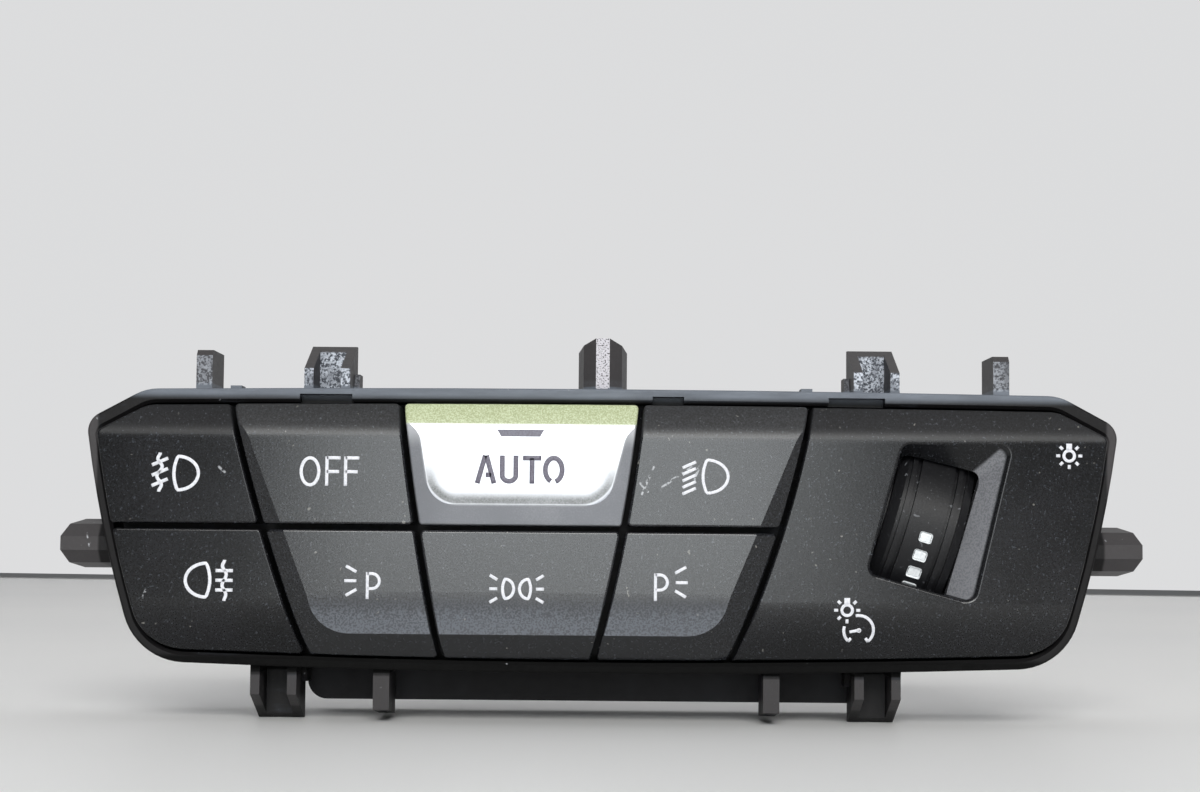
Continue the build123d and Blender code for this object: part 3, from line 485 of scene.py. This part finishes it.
def silverPaint():
    look = silverLook
    f = Finish("silverPaint")
    x, _, z = f.axes()
    flake = f.noise(look["flake"], 1)
    cloud = f.noise(look["cloud"], 3, 0.6)
    colour = f.mix(cloud * 0.5 + flake * 0.3, look["paintShade"], look["paint"])
    inside = ridgeDistance(x, z)
    skirt = (1 - inside.between(*look["skirtEdge"])) * (1 - z.between(*look["skirtHeight"]))
    colour = f.mix((skirt * (0.62 + cloud * 0.4 + flake * 0.3)).clamp(), colour, look["skirt"])
    # painted shade in a band just inside the ridge
    band = inside.span(*look["bandWidth"]) * (1 - z.between(*look["bandHeight"]))
    colour = f.mix((band * (0.6 + cloud * 0.3 + flake * 0.3)).clamp(), colour, look["band"])
    # painted reflection: an olive tint on the top facet, which is also rougher and not metallic
    top = z.between(*look["topHeight"])
    tint = f.mix(flake.between(0.35, 0.7), look["topTint"], look["topTintLight"])
    colour = f.mix(top, colour, tint)
    rough = look["rough"] + flake * 0.12 + top * 0.15
    bare = look["metal"] - top * look["metal"]
    return f.set(colour=colour, rough=rough, metal=bare, normal=f.bump(flake, 0.000008, 0.5))


wheelLook = {
    "colour": rgb(20, 20, 22),
    "grain": 0.00014,
    # painted glints on the lighter specks of the grain
    "sparkle": rgb(76, 78, 82),
    "sparkleShare": (0.64, 0.72),
    "dust": rgb(104, 106, 110),
    "dustGrain": 0.0003,
    "dustShare": (0.7, 0.75),
    "dustPatch": 0.003,
    "rough": 0.36,
    "level": 0.26,
}


def wheelPlastic():
    look = wheelLook
    f = Finish("wheelPlastic")
    grain = f.noise(look["grain"], 2, 0.6)
    speck = grain.between(*look["sparkleShare"])
    dusty = f.noise(look["dustGrain"], 1).between(*look["dustShare"])
    dusty = dusty * f.noise(look["dustPatch"]).between(0.4, 0.6)
    # painted glints on the lighter specks of the grain
    colour = f.mix(speck * 0.3, look["colour"], look["sparkle"])
    colour = f.mix(dusty * 0.7, colour, look["dust"])
    rough = look["rough"] + grain * 0.16
    return f.set(colour=colour, rough=rough, level=look["level"], normal=f.bump(grain, 0.00002, 0.6))


def printedMark(name, colour, shade):
    f = Finish(name)
    grain = f.noise(0.00012)
    return f.set(colour=f.mix(grain.between(0.3, 0.7), shade, colour), rough=0.42 + grain * 0.1,
                 normal=f.bump(grain, 0.000004, 0.4))


def mouldedPlastic(name, colour, lighter, grain, rough, level=0.5):
    f = Finish(name)
    pattern = f.noise(grain, 3, 0.6)
    cloud = f.noise(grain * 20, 3, 0.6)
    return f.set(colour=f.mix(cloud.between(0.35, 0.7) * 0.6, colour, lighter), rough=rough + pattern * 0.15,
                 level=level, normal=f.bump(pattern, grain * 0.12, 0.6))


def metal(name, colour, lighter, rough):
    f = Finish(name)
    drawn = f.streaks(300, 4000, 3)
    return f.set(colour=f.mix(drawn, colour, lighter), metal=1.0, rough=rough + drawn * 0.15,
                 normal=f.bump(drawn, 0.000008, 0.4))


boardLook = {
    "green": rgb(18, 84, 52),
    "greenLight": rgb(24, 98, 62),
    "greenDark": rgb(14, 62, 40),
    "weave": 1800.0,
    "cloud": 0.005,
    "rough": 0.28,
}


def boardLaminate():
    look = boardLook
    f = Finish("boardLaminate")
    weave = f.add("ShaderNodeTexChecker", None, {
        "Vector": f.place, "Scale": look["weave"], "Color1": look["green"], "Color2": look["greenLight"]})
    cloud = f.noise(look["cloud"], 3)
    colour = f.mix(cloud.between(0.4, 0.7) * 0.5, weave, look["greenDark"])
    return f.set(colour=colour, rough=look["rough"] + cloud * 0.12, normal=f.bump(cloud, 0.00002, 0.3))


def hazy(name, colour, darker, haze, rough, bumps, **more):
    # a milky material; more says how light goes through it
    f = Finish(name)
    cloud = f.noise(haze, 3)
    return f.set(colour=f.mix(cloud, colour, darker), rough=rough + cloud * 0.15,
                 normal=f.bump(cloud, 0.00002, bumps), **more)


dress(capPlastic("capPlastic"),
      "off_button", "parking_left_button", "side_light_button", "parking_right_button")
dress(capPlastic("capPlasticScuffed", scuffed=True), "low_beam_button")
dress(capPlastic("wingPlastic", scuffed=True, key=False, level=0.27), "fog_front_button", "fog_rear_button")
dress(capPlastic("panelPlastic", key=False, recess=True, level=0.32), "wheel_panel")
dress(framePlastic(), "front_frame")
dress(silverPaint(), "auto_button")
dress(wheelPlastic(), "dimmer_wheel")
dress(metal("axleSteel", rgb(150, 150, 152), rgb(184, 184, 186), 0.24), "wheel_axle")
dress(metal("springSteel", rgb(150, 146, 136), rgb(176, 172, 160), 0.3), "detent_spring")
dress(metal("pinTin", rgb(190, 186, 170), rgb(214, 212, 200), 0.22), "connector_pins")
dress(metal("canAluminium", rgb(186, 188, 192), rgb(208, 210, 213), 0.26), "capacitors")
dress(mouldedPlastic("coverPlastic", rgb(23, 22, 23), rgb(38, 38, 41), 0.00024, 0.45, 0.12), "rear_cover")
dress(mouldedPlastic("connectorPlastic", rgb(30, 31, 34), rgb(42, 43, 46), 0.00018, 0.4), "connector_header")
dress(mouldedPlastic("barrierPlastic", rgb(26, 26, 29), rgb(38, 38, 42), 0.00012, 0.35), "light_barrier")
dress(mouldedPlastic("chipPlastic", rgb(30, 30, 32), rgb(44, 44, 46), 0.0001, 0.5), "controller_chip")
dress(mouldedPlastic("screenPlastic", rgb(222, 221, 215), rgb(206, 205, 198), 0.0002, 0.42), "light_screen")
dress(mouldedPlastic("lampPlastic", rgb(232, 226, 186), rgb(216, 208, 150), 0.0001, 0.3), "board_lamps")
dress(boardLaminate(), "circuit_board")
dress(hazy("siliconeMat", rgb(196, 198, 196), rgb(178, 181, 180), 0.0006, 0.5, 0.4, inside=0.1), "key_mat")
dress(hazy("clearGuide", rgb(228, 232, 236), rgb(206, 212, 218), 0.0008, 0.08, 0.3, through=0.6, ior=1.49),
      "bulb_light_guide", "dimmer_light_guide")
lightMark = printedMark("lightMark", rgb(216, 216, 221), rgb(196, 198, 205))
darkMark = printedMark("darkMark", rgb(78, 74, 88), rgb(96, 92, 106))
indicatorLens = printedMark("indicatorLens", rgb(92, 90, 104), rgb(78, 76, 90))
wheelMark = printedMark("wheelMark", rgb(222, 225, 226), rgb(204, 208, 211))
print("finishes on", len(bpy.data.materials), "materials")


# Signs: flat printed strokes that lie on the button faces. Places are (x, z) in mm

strokeLook = {
    "thick": 0.00005,  # how far a printed stroke stands over the face
    "sink": 0.00003,
    "shoulder": 0.6,  # share of the thickness where the edges round off
    "flat": 0.82,  # share of the width that is flat
    "step": 0.35,  # the longest piece of a stroke in mm, so that it can follow the face
    "lookFrom": 0.01,  # how far before the part a face is looked for
}


def arc(cx, cz, rx, rz, start, end, steps):
    # points on an ellipse, angles in degrees from +x towards +z
    turn = [math.radians(start + (end - start) * k / steps) for k in range(steps + 1)]
    return [(cx + rx * math.cos(t), cz + rz * math.sin(t)) for t in turn]


def shift(points, x, z):
    return [(a + x, b + z) for a, b in points]


def flipped(points):
    return [(-a, b) for a, b in points]


def wave(turns, steps=8):
    # a wavy line that swings from one turning place to the next
    out = []
    for (ax, az), (bx, bz) in zip(turns, turns[1:]):
        for k in range(steps):
            swing = (1 - math.cos(math.pi * k / steps)) / 2
            out.append((ax + (bx - ax) * swing, az + (bz - az) * k / steps))
    return out + [turns[-1]]


def faceDepth(node, x, z):
    # y of a node's face at a place, found by looking straight in
    start = Vector((x * mm, low.y - strokeLook["lookFrom"], z * mm))
    hit, where = frame["nodes"][node].ray_cast(start, Vector((0, 1, 0)))[:2]
    return where.y if hit else faceFront


def profileCurve(width):
    # the cross section that is drawn along a sign's strokes
    name = f"profile{round(width * 1e6)}"
    if name in bpy.data.objects:
        return bpy.data.objects[name]
    half, up, down = width / 2, strokeLook["thick"], -strokeLook["sink"]
    flat, shoulder = half * strokeLook["flat"], up * strokeLook["shoulder"]
    outline = [(-half, down), (half, down), (half, shoulder), (flat, up), (-flat, up), (-half, shoulder)]
    curve = bpy.data.curves.new(name, "CURVE")
    curve.dimensions = "2D"
    spline = curve.splines.new("POLY")
    spline.points.add(len(outline) - 1)
    for point, (a, b) in zip(spline.points, outline):
        point.co = (a, b, 0, 1)
    spline.use_cyclic_u = True
    o = bpy.data.objects.new(name, curve)
    bpy.context.scene.collection.objects.link(o)
    o.hide_render = True
    return o


def finer(points, closed):
    ends = points + points[:1] if closed else points
    out = []
    for (ax, az), (bx, bz) in zip(ends, ends[1:]):
        parts = max(1, math.ceil(math.hypot(bx - ax, bz - az) / strokeLook["step"]))
        out += [(ax + (bx - ax) * k / parts, az + (bz - az) * k / parts) for k in range(parts)]
    return out if closed else out + [points[-1]]


def drawSign(name, node, body, finish, strokes, width):
    # strokes are (points, closed)
    curve = bpy.data.curves.new(name, "CURVE")
    curve.dimensions = "3D"
    curve.twist_mode = "Z_UP"
    curve.bevel_mode = "OBJECT"
    curve.bevel_object = profileCurve(width)
    curve.use_fill_caps = True
    for points, closed in strokes:
        spline = curve.splines.new("POLY")
        places = finer(points, closed)
        spline.points.add(len(places) - 1)
        for point, (x, z) in zip(spline.points, places):
            point.co = (x * mm, z * mm, -faceDepth(node, x, z), 1)
        spline.use_cyclic_u = closed
    o = bpy.data.objects.new(name, curve)
    bpy.context.scene.collection.objects.link(o)
    makeActive(o)
    bpy.ops.object.convert(target="MESH")
    o = bpy.context.view_layer.objects.active
    o.rotation_euler = (math.radians(90), 0, 0)
    applyPlace(o)
    outwards(o)
    o.data.materials.append(finish.mat)
    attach(o, body)


def line(a, b):
    return ([a, b], False)


def curved(*shape):
    return (arc(*shape), False)


def ring(x, z, rx, rz, steps):
    return (arc(x, z, rx, rz, 0, 360, steps)[:-1], True)


lampLook = {
    "bow": (-88, 88, 22),  # angles and steps of the round side
    "backSteps": (4.6, 4, 3, 2, 1, 0, -1, -2, -3, -4, -4.6),
    "backMost": 5,
    "backReach": 0.985,
}


def lampShape(half, width, corner=0.45):
    # the half-round lamp outline, its flat side at x = 0 and bulging to +x
    out = arc(corner, 0, width - corner, half, *lampLook["bow"])
    most = lampLook["backMost"]
    for k in lampLook["backSteps"]:
        out.append((corner * (k / most) ** 2, half * lampLook["backReach"] * k / most))
    return out


# Fog lamps: a lamp, three rays and a wavy line across them; the rear one is turned round

fogFrontLook = {
    "place": (-52.4, 30.4),
    "lamp": (2.06, 3.0),
    "turned": False,
    "rays": (-2.7, -0.74),
    "lift": 0.13,
    "pitch": 1.27,
    "slant": 0.42,
    "wave": [(-1.7, 2.5), (-2.0, 1.77), (-1.45, 0.8), (-2.08, -0.38), (-1.5, -1.45), (-1.82, -2.3)],
    "stroke": 0.00041,
}
fogRearLook = {
    "place": (-47.72, 17.37),
    "lamp": (2.06, 3.0),
    "turned": True,
    "rays": (0.68, 2.8),
    "lift": 0,
    "pitch": 1.18,
    "slant": 0,
    "wave": [(1.76, 2.49), (1.5, 1.79), (1.99, 0.7), (1.5, -0.56), (1.97, -1.75), (1.77, -2.51)],
    "stroke": 0.00041,
}


def fogStrokes(look):
    x, z = look["place"]
    lamp = lampShape(*look["lamp"])
    out = [(shift(flipped(lamp) if look["turned"] else lamp, x, z), True)]
    start, end = look["rays"]
    for k in (1, 0, -1):
        level = z + look["lift"] + look["pitch"] * k
        out.append(line((x + start, level - look["slant"]), (x + end, level + look["slant"])))
    out.append((shift(wave(look["wave"]), x, z), False))
    return out


drawSign("signFogFront", "fog_front_button", "fog_front", lightMark, fogStrokes(fogFrontLook),
         fogFrontLook["stroke"])
drawSign("signFogRear", "fog_rear_button", "fog_rear", lightMark, fogStrokes(fogRearLook),
         fogRearLook["stroke"])


# OFF

offLook = {
    "letterO": (-35.6, 30.72, 1.075, 1.65, 32),
    "letterF": (-33.55, -31.27),
    "foot": 28.98,
    "top": 32.4,
    "bar": 30.72,
    "over": 0.16,
    "topReach": 1.66,
    "barReach": 1.5,
    "stroke": 0.0004,
}


def offStrokes():
    look = offLook
    foot, top, bar = look["foot"], look["top"], look["bar"]
    out = [ring(*look["letterO"])]
    for x in look["letterF"]:
        out.append(line((x, foot), (x, top + look["over"])))
        out.append(line((x, top), (x + look["topReach"], top)))
        out.append(line((x, bar), (x + look["barReach"], bar)))
    return out


drawSign("signOff", "off_button", "off", lightMark, offStrokes(), offLook["stroke"])


# AUTO, dark on the silver button

autoLook = {
    "letterA": (((-15.2, 29.45), (-14.25, 32.85)), ((-14.1, 32.85), (-13.15, 29.45)),
                ((-14.17, 30.48), (-13.5, 30.48))),
    "sidesU": ((-12.16, 32.85), (-10.5, 32.85)),
    "baseU": (-11.33, 30.45, 0.83, 0.72, 180, 360, 16),
    "letterT": (((-9.64, 32.57), (-7.42, 32.57)), ((-8.53, 32.55), (-8.53, 29.45))),
    "letterO": (-5.88, 31.15, 1.025, 1.45, -77, 250, 32),  # open at its foot
    "stroke": 0.0006,
}


def autoStrokes():
    look = autoLook
    left, right = look["sidesU"]
    out = [line(a, b) for a, b in look["letterA"]]
    out.append(([left] + arc(*look["baseU"]) + [right], False))
    out += [line(a, b) for a, b in look["letterT"]]
    out.append(curved(*look["letterO"]))
    return out


drawSign("signAuto", "auto_button", "auto", darkMark, autoStrokes(), autoLook["stroke"])


# Low beam: lamp and five rays slanting down

lowBeamLook = {
    "place": (12.33, 30.5),
    "lamp": (2.02, 3.06),
    "rays": (-2.51, -0.86),
    "first": 1.41,
    "pitch": 0.8,
    "slant": 0.375,
    "stroke": 0.00037,
}


def lowBeamStrokes():
    look = lowBeamLook
    x, z = look["place"]
    out = [(shift(lampShape(*look["lamp"]), x, z), True)]
    start, end = look["rays"]
    for k in range(5):
        level = z + look["first"] - look["pitch"] * k
        out.append(line((x + start, level - look["slant"]), (x + end, level + look["slant"])))
    return out


drawSign("signLowBeam", "low_beam_button", "low_beam", lightMark, lowBeamStrokes(), lowBeamLook["stroke"])


# Parking lamps, left and right: a P and three rays

parkingLook = {
    "over": 0.18,
    "width": 1.45,
    "stroke": 0.00037,
    "left": {"x": -28.39, "low": 15.28, "high": 18.36, "bowl": 16.54,
             "rays": (((-31.02, 19.26), (-29.74, 18.56)), ((-31.2, 17.47), (-29.72, 17.47)),
                      ((-31.02, 15.68), (-29.7, 16.44)))},
    "right": {"x": 6.62, "low": 15.34, "high": 18.5, "bowl": 16.66,
              "rays": (((9.0, 18.72), (10.35, 19.48)), ((9.08, 17.58), (10.55, 17.58)),
                       ((9.0, 16.6), (10.33, 15.82)))},
}


def parkingStrokes(side):
    x, high, bowl = side["x"], side["high"], side["bowl"]
    r = (high - bowl) / 2
    loop = [(x, high)] + arc(x + parkingLook["width"] - r, high - r, r, r, 90, -90, 12) + [(x, bowl)]
    out = [line((x, side["low"]), (x, high + parkingLook["over"])), (loop, False)]
    return out + [line(a, b) for a, b in side["rays"]]


drawSign("signParkingLeft", "parking_left_button", "parking_left", lightMark,
         parkingStrokes(parkingLook["left"]), parkingLook["stroke"])
drawSign("signParkingRight", "parking_right_button", "parking_right", lightMark,
         parkingStrokes(parkingLook["right"]), parkingLook["stroke"])


# Side lights: two lamps back to back with rays on both sides

sideLightLook = {
    "place": (-10.25, 16.65),
    "lamp": (1.19, 1.36, 0.28),
    "apart": 1.71,
    "inner": 2.35,
    "reach": 0.98,
    "spread": 1.1,
    "rise": 0.55,
    "shorter": 0.95,
    "stroke": 0.00037,
}


def sideLightStrokes():
    look = sideLightLook
    x, z = look["place"]
    lamp = lampShape(*look["lamp"])
    out = [(shift(lamp, x - look["apart"], z), True), (shift(flipped(lamp), x + look["apart"], z), True)]
    for side in (-1, 1):
        start = x + side * look["inner"]
        out.append(line((start, z), (x + side * (look["inner"] + look["reach"]), z)))
        far = x + side * (look["inner"] + look["reach"] * look["shorter"])
        for end in (-1, 1):
            out.append(line((start, z + end * look["spread"]),
                            (far, z + end * (look["spread"] + look["rise"]))))
    return out


drawSign("signSideLight", "side_light_button", "side_light", lightMark, sideLightStrokes(),
         sideLightLook["stroke"])


# Bulb sign, and the dimmer sign: the bulb beside a dial with its needle

bulbLook = {
    "place": (57.2, 33.45),
    "round": 0.645,
    "cap": 0.17,
    "capHeight": (0.7, 1.5),
    "rays": (0, 45, 135, 180, 225, 270, 315),
    "rayReach": (1.1, 1.6),
    "stroke": 0.00037,
}


def bulbStrokes(x, z, skip=()):
    # a round bulb, its cap on top, with short rays round it
    look = bulbLook
    out = [ring(x, z, look["round"], look["round"], 28)]
    start, end = look["capHeight"]
    out += [line((x + dx, z + start), (x + dx, z + end)) for dx in (-look["cap"], look["cap"])]
    near, far = look["rayReach"]
    for angle in look["rays"]:
        if angle not in skip:
            c, s = math.cos(math.radians(angle)), math.sin(math.radians(angle))
            out.append(line((x + near * c, z + near * s), (x + far * c, z + far * s)))
    return out


dimmerLook = {
    "bulb": (30.03, 14.39),
    "dial": (31.48, 11.96),
    "radius": 1.81,
    "longArc": (103, -49, 20),
    "longEnd": ((1.2, -1.4), (0.87, -0.95)),
    "shortArc": (165, 227, 10),
    "shortEnd": ((-1.26, -1.38), (-0.9, -0.98)),
    "needle": ((-1.12, -0.2), (0, 0)),
    "hub": (0.03, -0.02, 0.12),
    "stroke": 0.00037,
}


def dimmerStrokes():
    look = dimmerLook
    x, z = look["dial"]
    r = look["radius"]
    hubX, hubZ, hubR = look["hub"]
    out = bulbStrokes(*look["bulb"], skip=(315,))
    out.append(curved(x, z, r, r, *look["longArc"]))
    out.append(line(*shift(look["longEnd"], x, z)))
    out.append(curved(x, z, r, r, *look["shortArc"]))
    out.append(line(*shift(look["shortEnd"], x, z)))
    out.append(line(*shift(look["needle"], x, z)))
    out.append(ring(x + hubX, z + hubZ, hubR, hubR, 10))
    return out


drawSign("signBulb", "wheel_panel", "housing", lightMark, bulbStrokes(*bulbLook["place"]),
         bulbLook["stroke"])
drawSign("signDimmer", "wheel_panel", "housing", lightMark, dimmerStrokes(), dimmerLook["stroke"])
for o in list(bpy.data.objects):
    if o.name.startswith("profile"):
        bpy.data.objects.remove(o)
print("signs drawn")


# Indicator lens on the silver button

lensLook = {
    "x": -9.96,
    "low": 35.17,
    "high": 36.06,
    "topWidth": 5.87,
    "bottomWidth": 4.8,
    "thick": 0.00016,
    "stand": 0.00002,
    "edge": 0.00004,
}


def indicator():
    lens = lensLook
    lowDepth = faceDepth("auto_button", lens["x"], lens["low"])
    highDepth = faceDepth("auto_button", lens["x"], lens["high"])
    rise = (lens["high"] - lens["low"]) * mm
    lean = math.atan2(highDepth - lowDepth, rise)
    length = math.hypot(rise, highDepth - lowDepth)
    o = newBlock("autoIndicator", (lens["topWidth"] * mm, lens["thick"], length))
    for v in o.data.vertices:
        v.select = v.co.z < 0
    bpy.ops.object.mode_set(mode="EDIT")
    bpy.ops.transform.resize(value=(lens["bottomWidth"] / lens["topWidth"], 1, 1))
    bpy.ops.object.mode_set(mode="OBJECT")
    edge = o.modifiers.new("edge", "BEVEL")
    edge.width = lens["edge"]
    edge.segments = 2
    applyModifiers(o)
    depth = (lowDepth + highDepth) / 2 + lens["thick"] / 2 - lens["stand"]
    o.location = (lens["x"] * mm, depth, (lens["low"] + lens["high"]) / 2 * mm)
    o.rotation_euler = (-lean, 0, 0)
    applyPlace(o)
    outwards(o)
    o.data.materials.append(indicatorLens.mat)
    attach(o, "auto")


indicator()


# Wheel marks: pale pads printed on the tread

markLook = {
    "tread": 11.8,
    "first": 5.9,
    "pitch": 11.25,
    "count": 4,
    "width": 1.62,
    "height": 1.3,
    "grow": 0.045,
    "aside": 0.42,
    "thick": 0.00012,
    "stand": 0.00004,
    "corner": 0.0003,
}


def wheelMarks():
    look = markLook
    joint = [j for j in frame["joints"] if j["child"] == "wheel"][0]
    axle = Vector(joint["axis"]).normalized()
    centre = Vector(joint["pos_m"])
    tilt = Matrix.Rotation(math.atan2(-axle.z, axle.x), 4, "Y")
    depth = look["tread"] * mm + look["stand"] - look["thick"] / 2
    out = Matrix.Translation((look["aside"] * mm, -depth, 0))
    for k in range(look["count"]):
        grow = 1 + look["grow"] * k
        size = (look["width"] * mm * grow, look["thick"], look["height"] * mm * grow)
        o = newBlock(f"wheelMark{k + 1}", size)
        for e in o.data.edges:
            a, b = (o.data.vertices[i].co for i in e.vertices)
            e.select = abs(a.x - b.x) < 1e-6 and abs(a.z - b.z) < 1e-6
        bpy.ops.object.mode_set(mode="EDIT")
        bpy.ops.mesh.bevel(offset=look["corner"], segments=4)
        bpy.ops.object.mode_set(mode="OBJECT")
        angle = math.radians(look["first"] + look["pitch"] * k)
        o.matrix_world = Matrix.Translation(centre) @ tilt @ Matrix.Rotation(angle, 4, "X") @ out
        applyPlace(o)
        outwards(o)
        o.data.materials.append(wheelMark.mat)
        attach(o, "wheel")


wheelMarks()
print("indicator and wheel marks placed")


# Table and wall

paintLook = {
    "cloud": 0.12,
    "peel": 0.0025,
    "rough": 0.45,
}


def paintedBoard(name, colour, darker):
    f = Finish(name)
    cloud = f.noise(paintLook["cloud"], 3)
    peel = f.noise(paintLook["peel"])
    return f.set(colour=f.mix(cloud.between(0.3, 0.75) * 0.5, colour, darker),
                 rough=paintLook["rough"] + cloud * 0.1, normal=f.bump(peel, 0.0001, 0.12))


tableLook = {
    "colour": rgb(237, 237, 236),
    "darker": rgb(228, 229, 230),
    "front": -1.2,
    "back": 1.47,
    "width": 4.0,
}


def setTable():
    look = tableLook
    deselectAll()
    bpy.ops.mesh.primitive_plane_add(size=1, location=(0, (look["front"] + look["back"]) / 2, low.z))
    table = bpy.context.active_object
    table.name = "table"
    table.scale = (look["width"], look["back"] - look["front"], 1)
    applyPlace(table)
    table.data.materials.append(paintedBoard("tablePaint", look["colour"], look["darker"]).mat)
    table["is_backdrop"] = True


wallLook = {
    "colour": rgb(222, 222, 223),
    "darker": rgb(216, 216, 218),
    "shade": rgb(218, 219, 220),
    "black": rgb(0, 0, 0),
    "cloud": 0.35,
    "middle": 0.83,
    "height": 1.003,
    "size": (4.5, 0.04, 2.0),
    "turn": -19.5,
}


def wallPaint():
    # the wall shows its own colour to the camera and to gloss, and is plain paint to all other light
    look = wallLook
    paint = paintedBoard("wallPaint", look["colour"], look["darker"])
    camera = paint.add("ShaderNodeLightPath", out="Is Camera Ray")
    gloss = paint.add("ShaderNodeLightPath", out="Is Glossy Ray")
    through = paint.add("ShaderNodeLightPath", out="Is Transmission Ray")
    seen = (camera + gloss + through).clamp()
    cloud = paint.noise(look["cloud"])
    shown = paint.mix(cloud.between(0.3, 0.7) * 0.6, look["colour"], look["shade"])
    return paint.set(colour=paint.mix(seen, look["colour"], look["black"]), level=0,
                     glow=paint.mix(seen, look["black"], shown), glowStrength=1)


def setWall():
    look = wallLook
    deselectAll()
    middle = look["middle"] + look["size"][1] / 2
    bpy.ops.mesh.primitive_cube_add(size=1, location=(0, middle, look["height"]))
    wall = bpy.context.active_object
    wall.name = "wall"
    wall.scale = look["size"]
    wall.rotation_euler = (0, 0, math.radians(look["turn"]))
    applyPlace(wall)
    wall.data.materials.append(wallPaint().mat)
    wall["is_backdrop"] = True


setTable()
setWall()


# Light

lightLook = {
    "flash": {"place": (-0.007, -0.42, 0.06), "size": 0.17, "height": 0.23, "power": 0.68,
              "colour": (0.93, 0.98, 1.0)},
    "ceiling": {"place": (0.0, 0.0, 1.2), "size": 1.4, "height": 1.2, "power": 3.2,
                "colour": (1.0, 1.0, 1.0)},
    "key": {"place": (0.05, -1.6, 0.85), "size": 1.0, "height": 0.6, "power": 27.0,
            "colour": (1.0, 0.99, 0.97)},
}
worldLook = {
    "colour": rgb(236, 238, 242),
    "strength": 0.15,
}


def areaLamp(name, look, target):
    deselectAll()
    bpy.ops.object.light_add(type="AREA", location=look["place"])
    lamp = bpy.context.active_object
    lamp.name = name
    lamp.data.shape = "RECTANGLE"
    lamp.data.size = look["size"]
    lamp.data.size_y = look["height"]
    lamp.data.color = look["colour"]
    lamp.data.energy = look["power"]
    lamp.rotation_euler = (target - Vector(look["place"])).to_track_quat("-Z", "Y").to_euler()


def setWorld():
    world = bpy.data.worlds.new("room")
    bpy.context.scene.world = world
    world.use_nodes = True
    background = world.node_tree.nodes["Background"]
    background.inputs["Color"].default_value = worldLook["colour"]
    background.inputs["Strength"].default_value = worldLook["strength"]


for name, look in lightLook.items():
    areaLamp(name, look, (low + high) / 2)
setWorld()


# Camera, where the photograph was taken from

cameraLook = {
    "place": (0.0, -0.2772, 0.0221),
    "pitch": 3.99,
    "yaw": 0.07,
    "roll": 0.5,
    "lens": 63.96,
    "sensor": 36,
    "clipStart": 0.01,
}


def setCamera():
    look = cameraLook
    deselectAll()
    bpy.ops.object.camera_add(location=look["place"])
    camera = bpy.context.active_object
    camera.data.lens = look["lens"]
    camera.data.sensor_width = look["sensor"]
    camera.data.clip_start = look["clipStart"]
    turn = Matrix.Rotation(math.radians(look["yaw"]), 4, "Z")
    turn = turn @ Matrix.Rotation(math.radians(90 + look["pitch"]), 4, "X")
    turn = turn @ Matrix.Rotation(math.radians(look["roll"]), 4, "Z")
    camera.rotation_euler = turn.to_euler()
    bpy.context.scene.camera = camera


setCamera()
bpy.context.scene.view_settings.view_transform = "Standard"
print("table, light and camera set")

low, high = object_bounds()
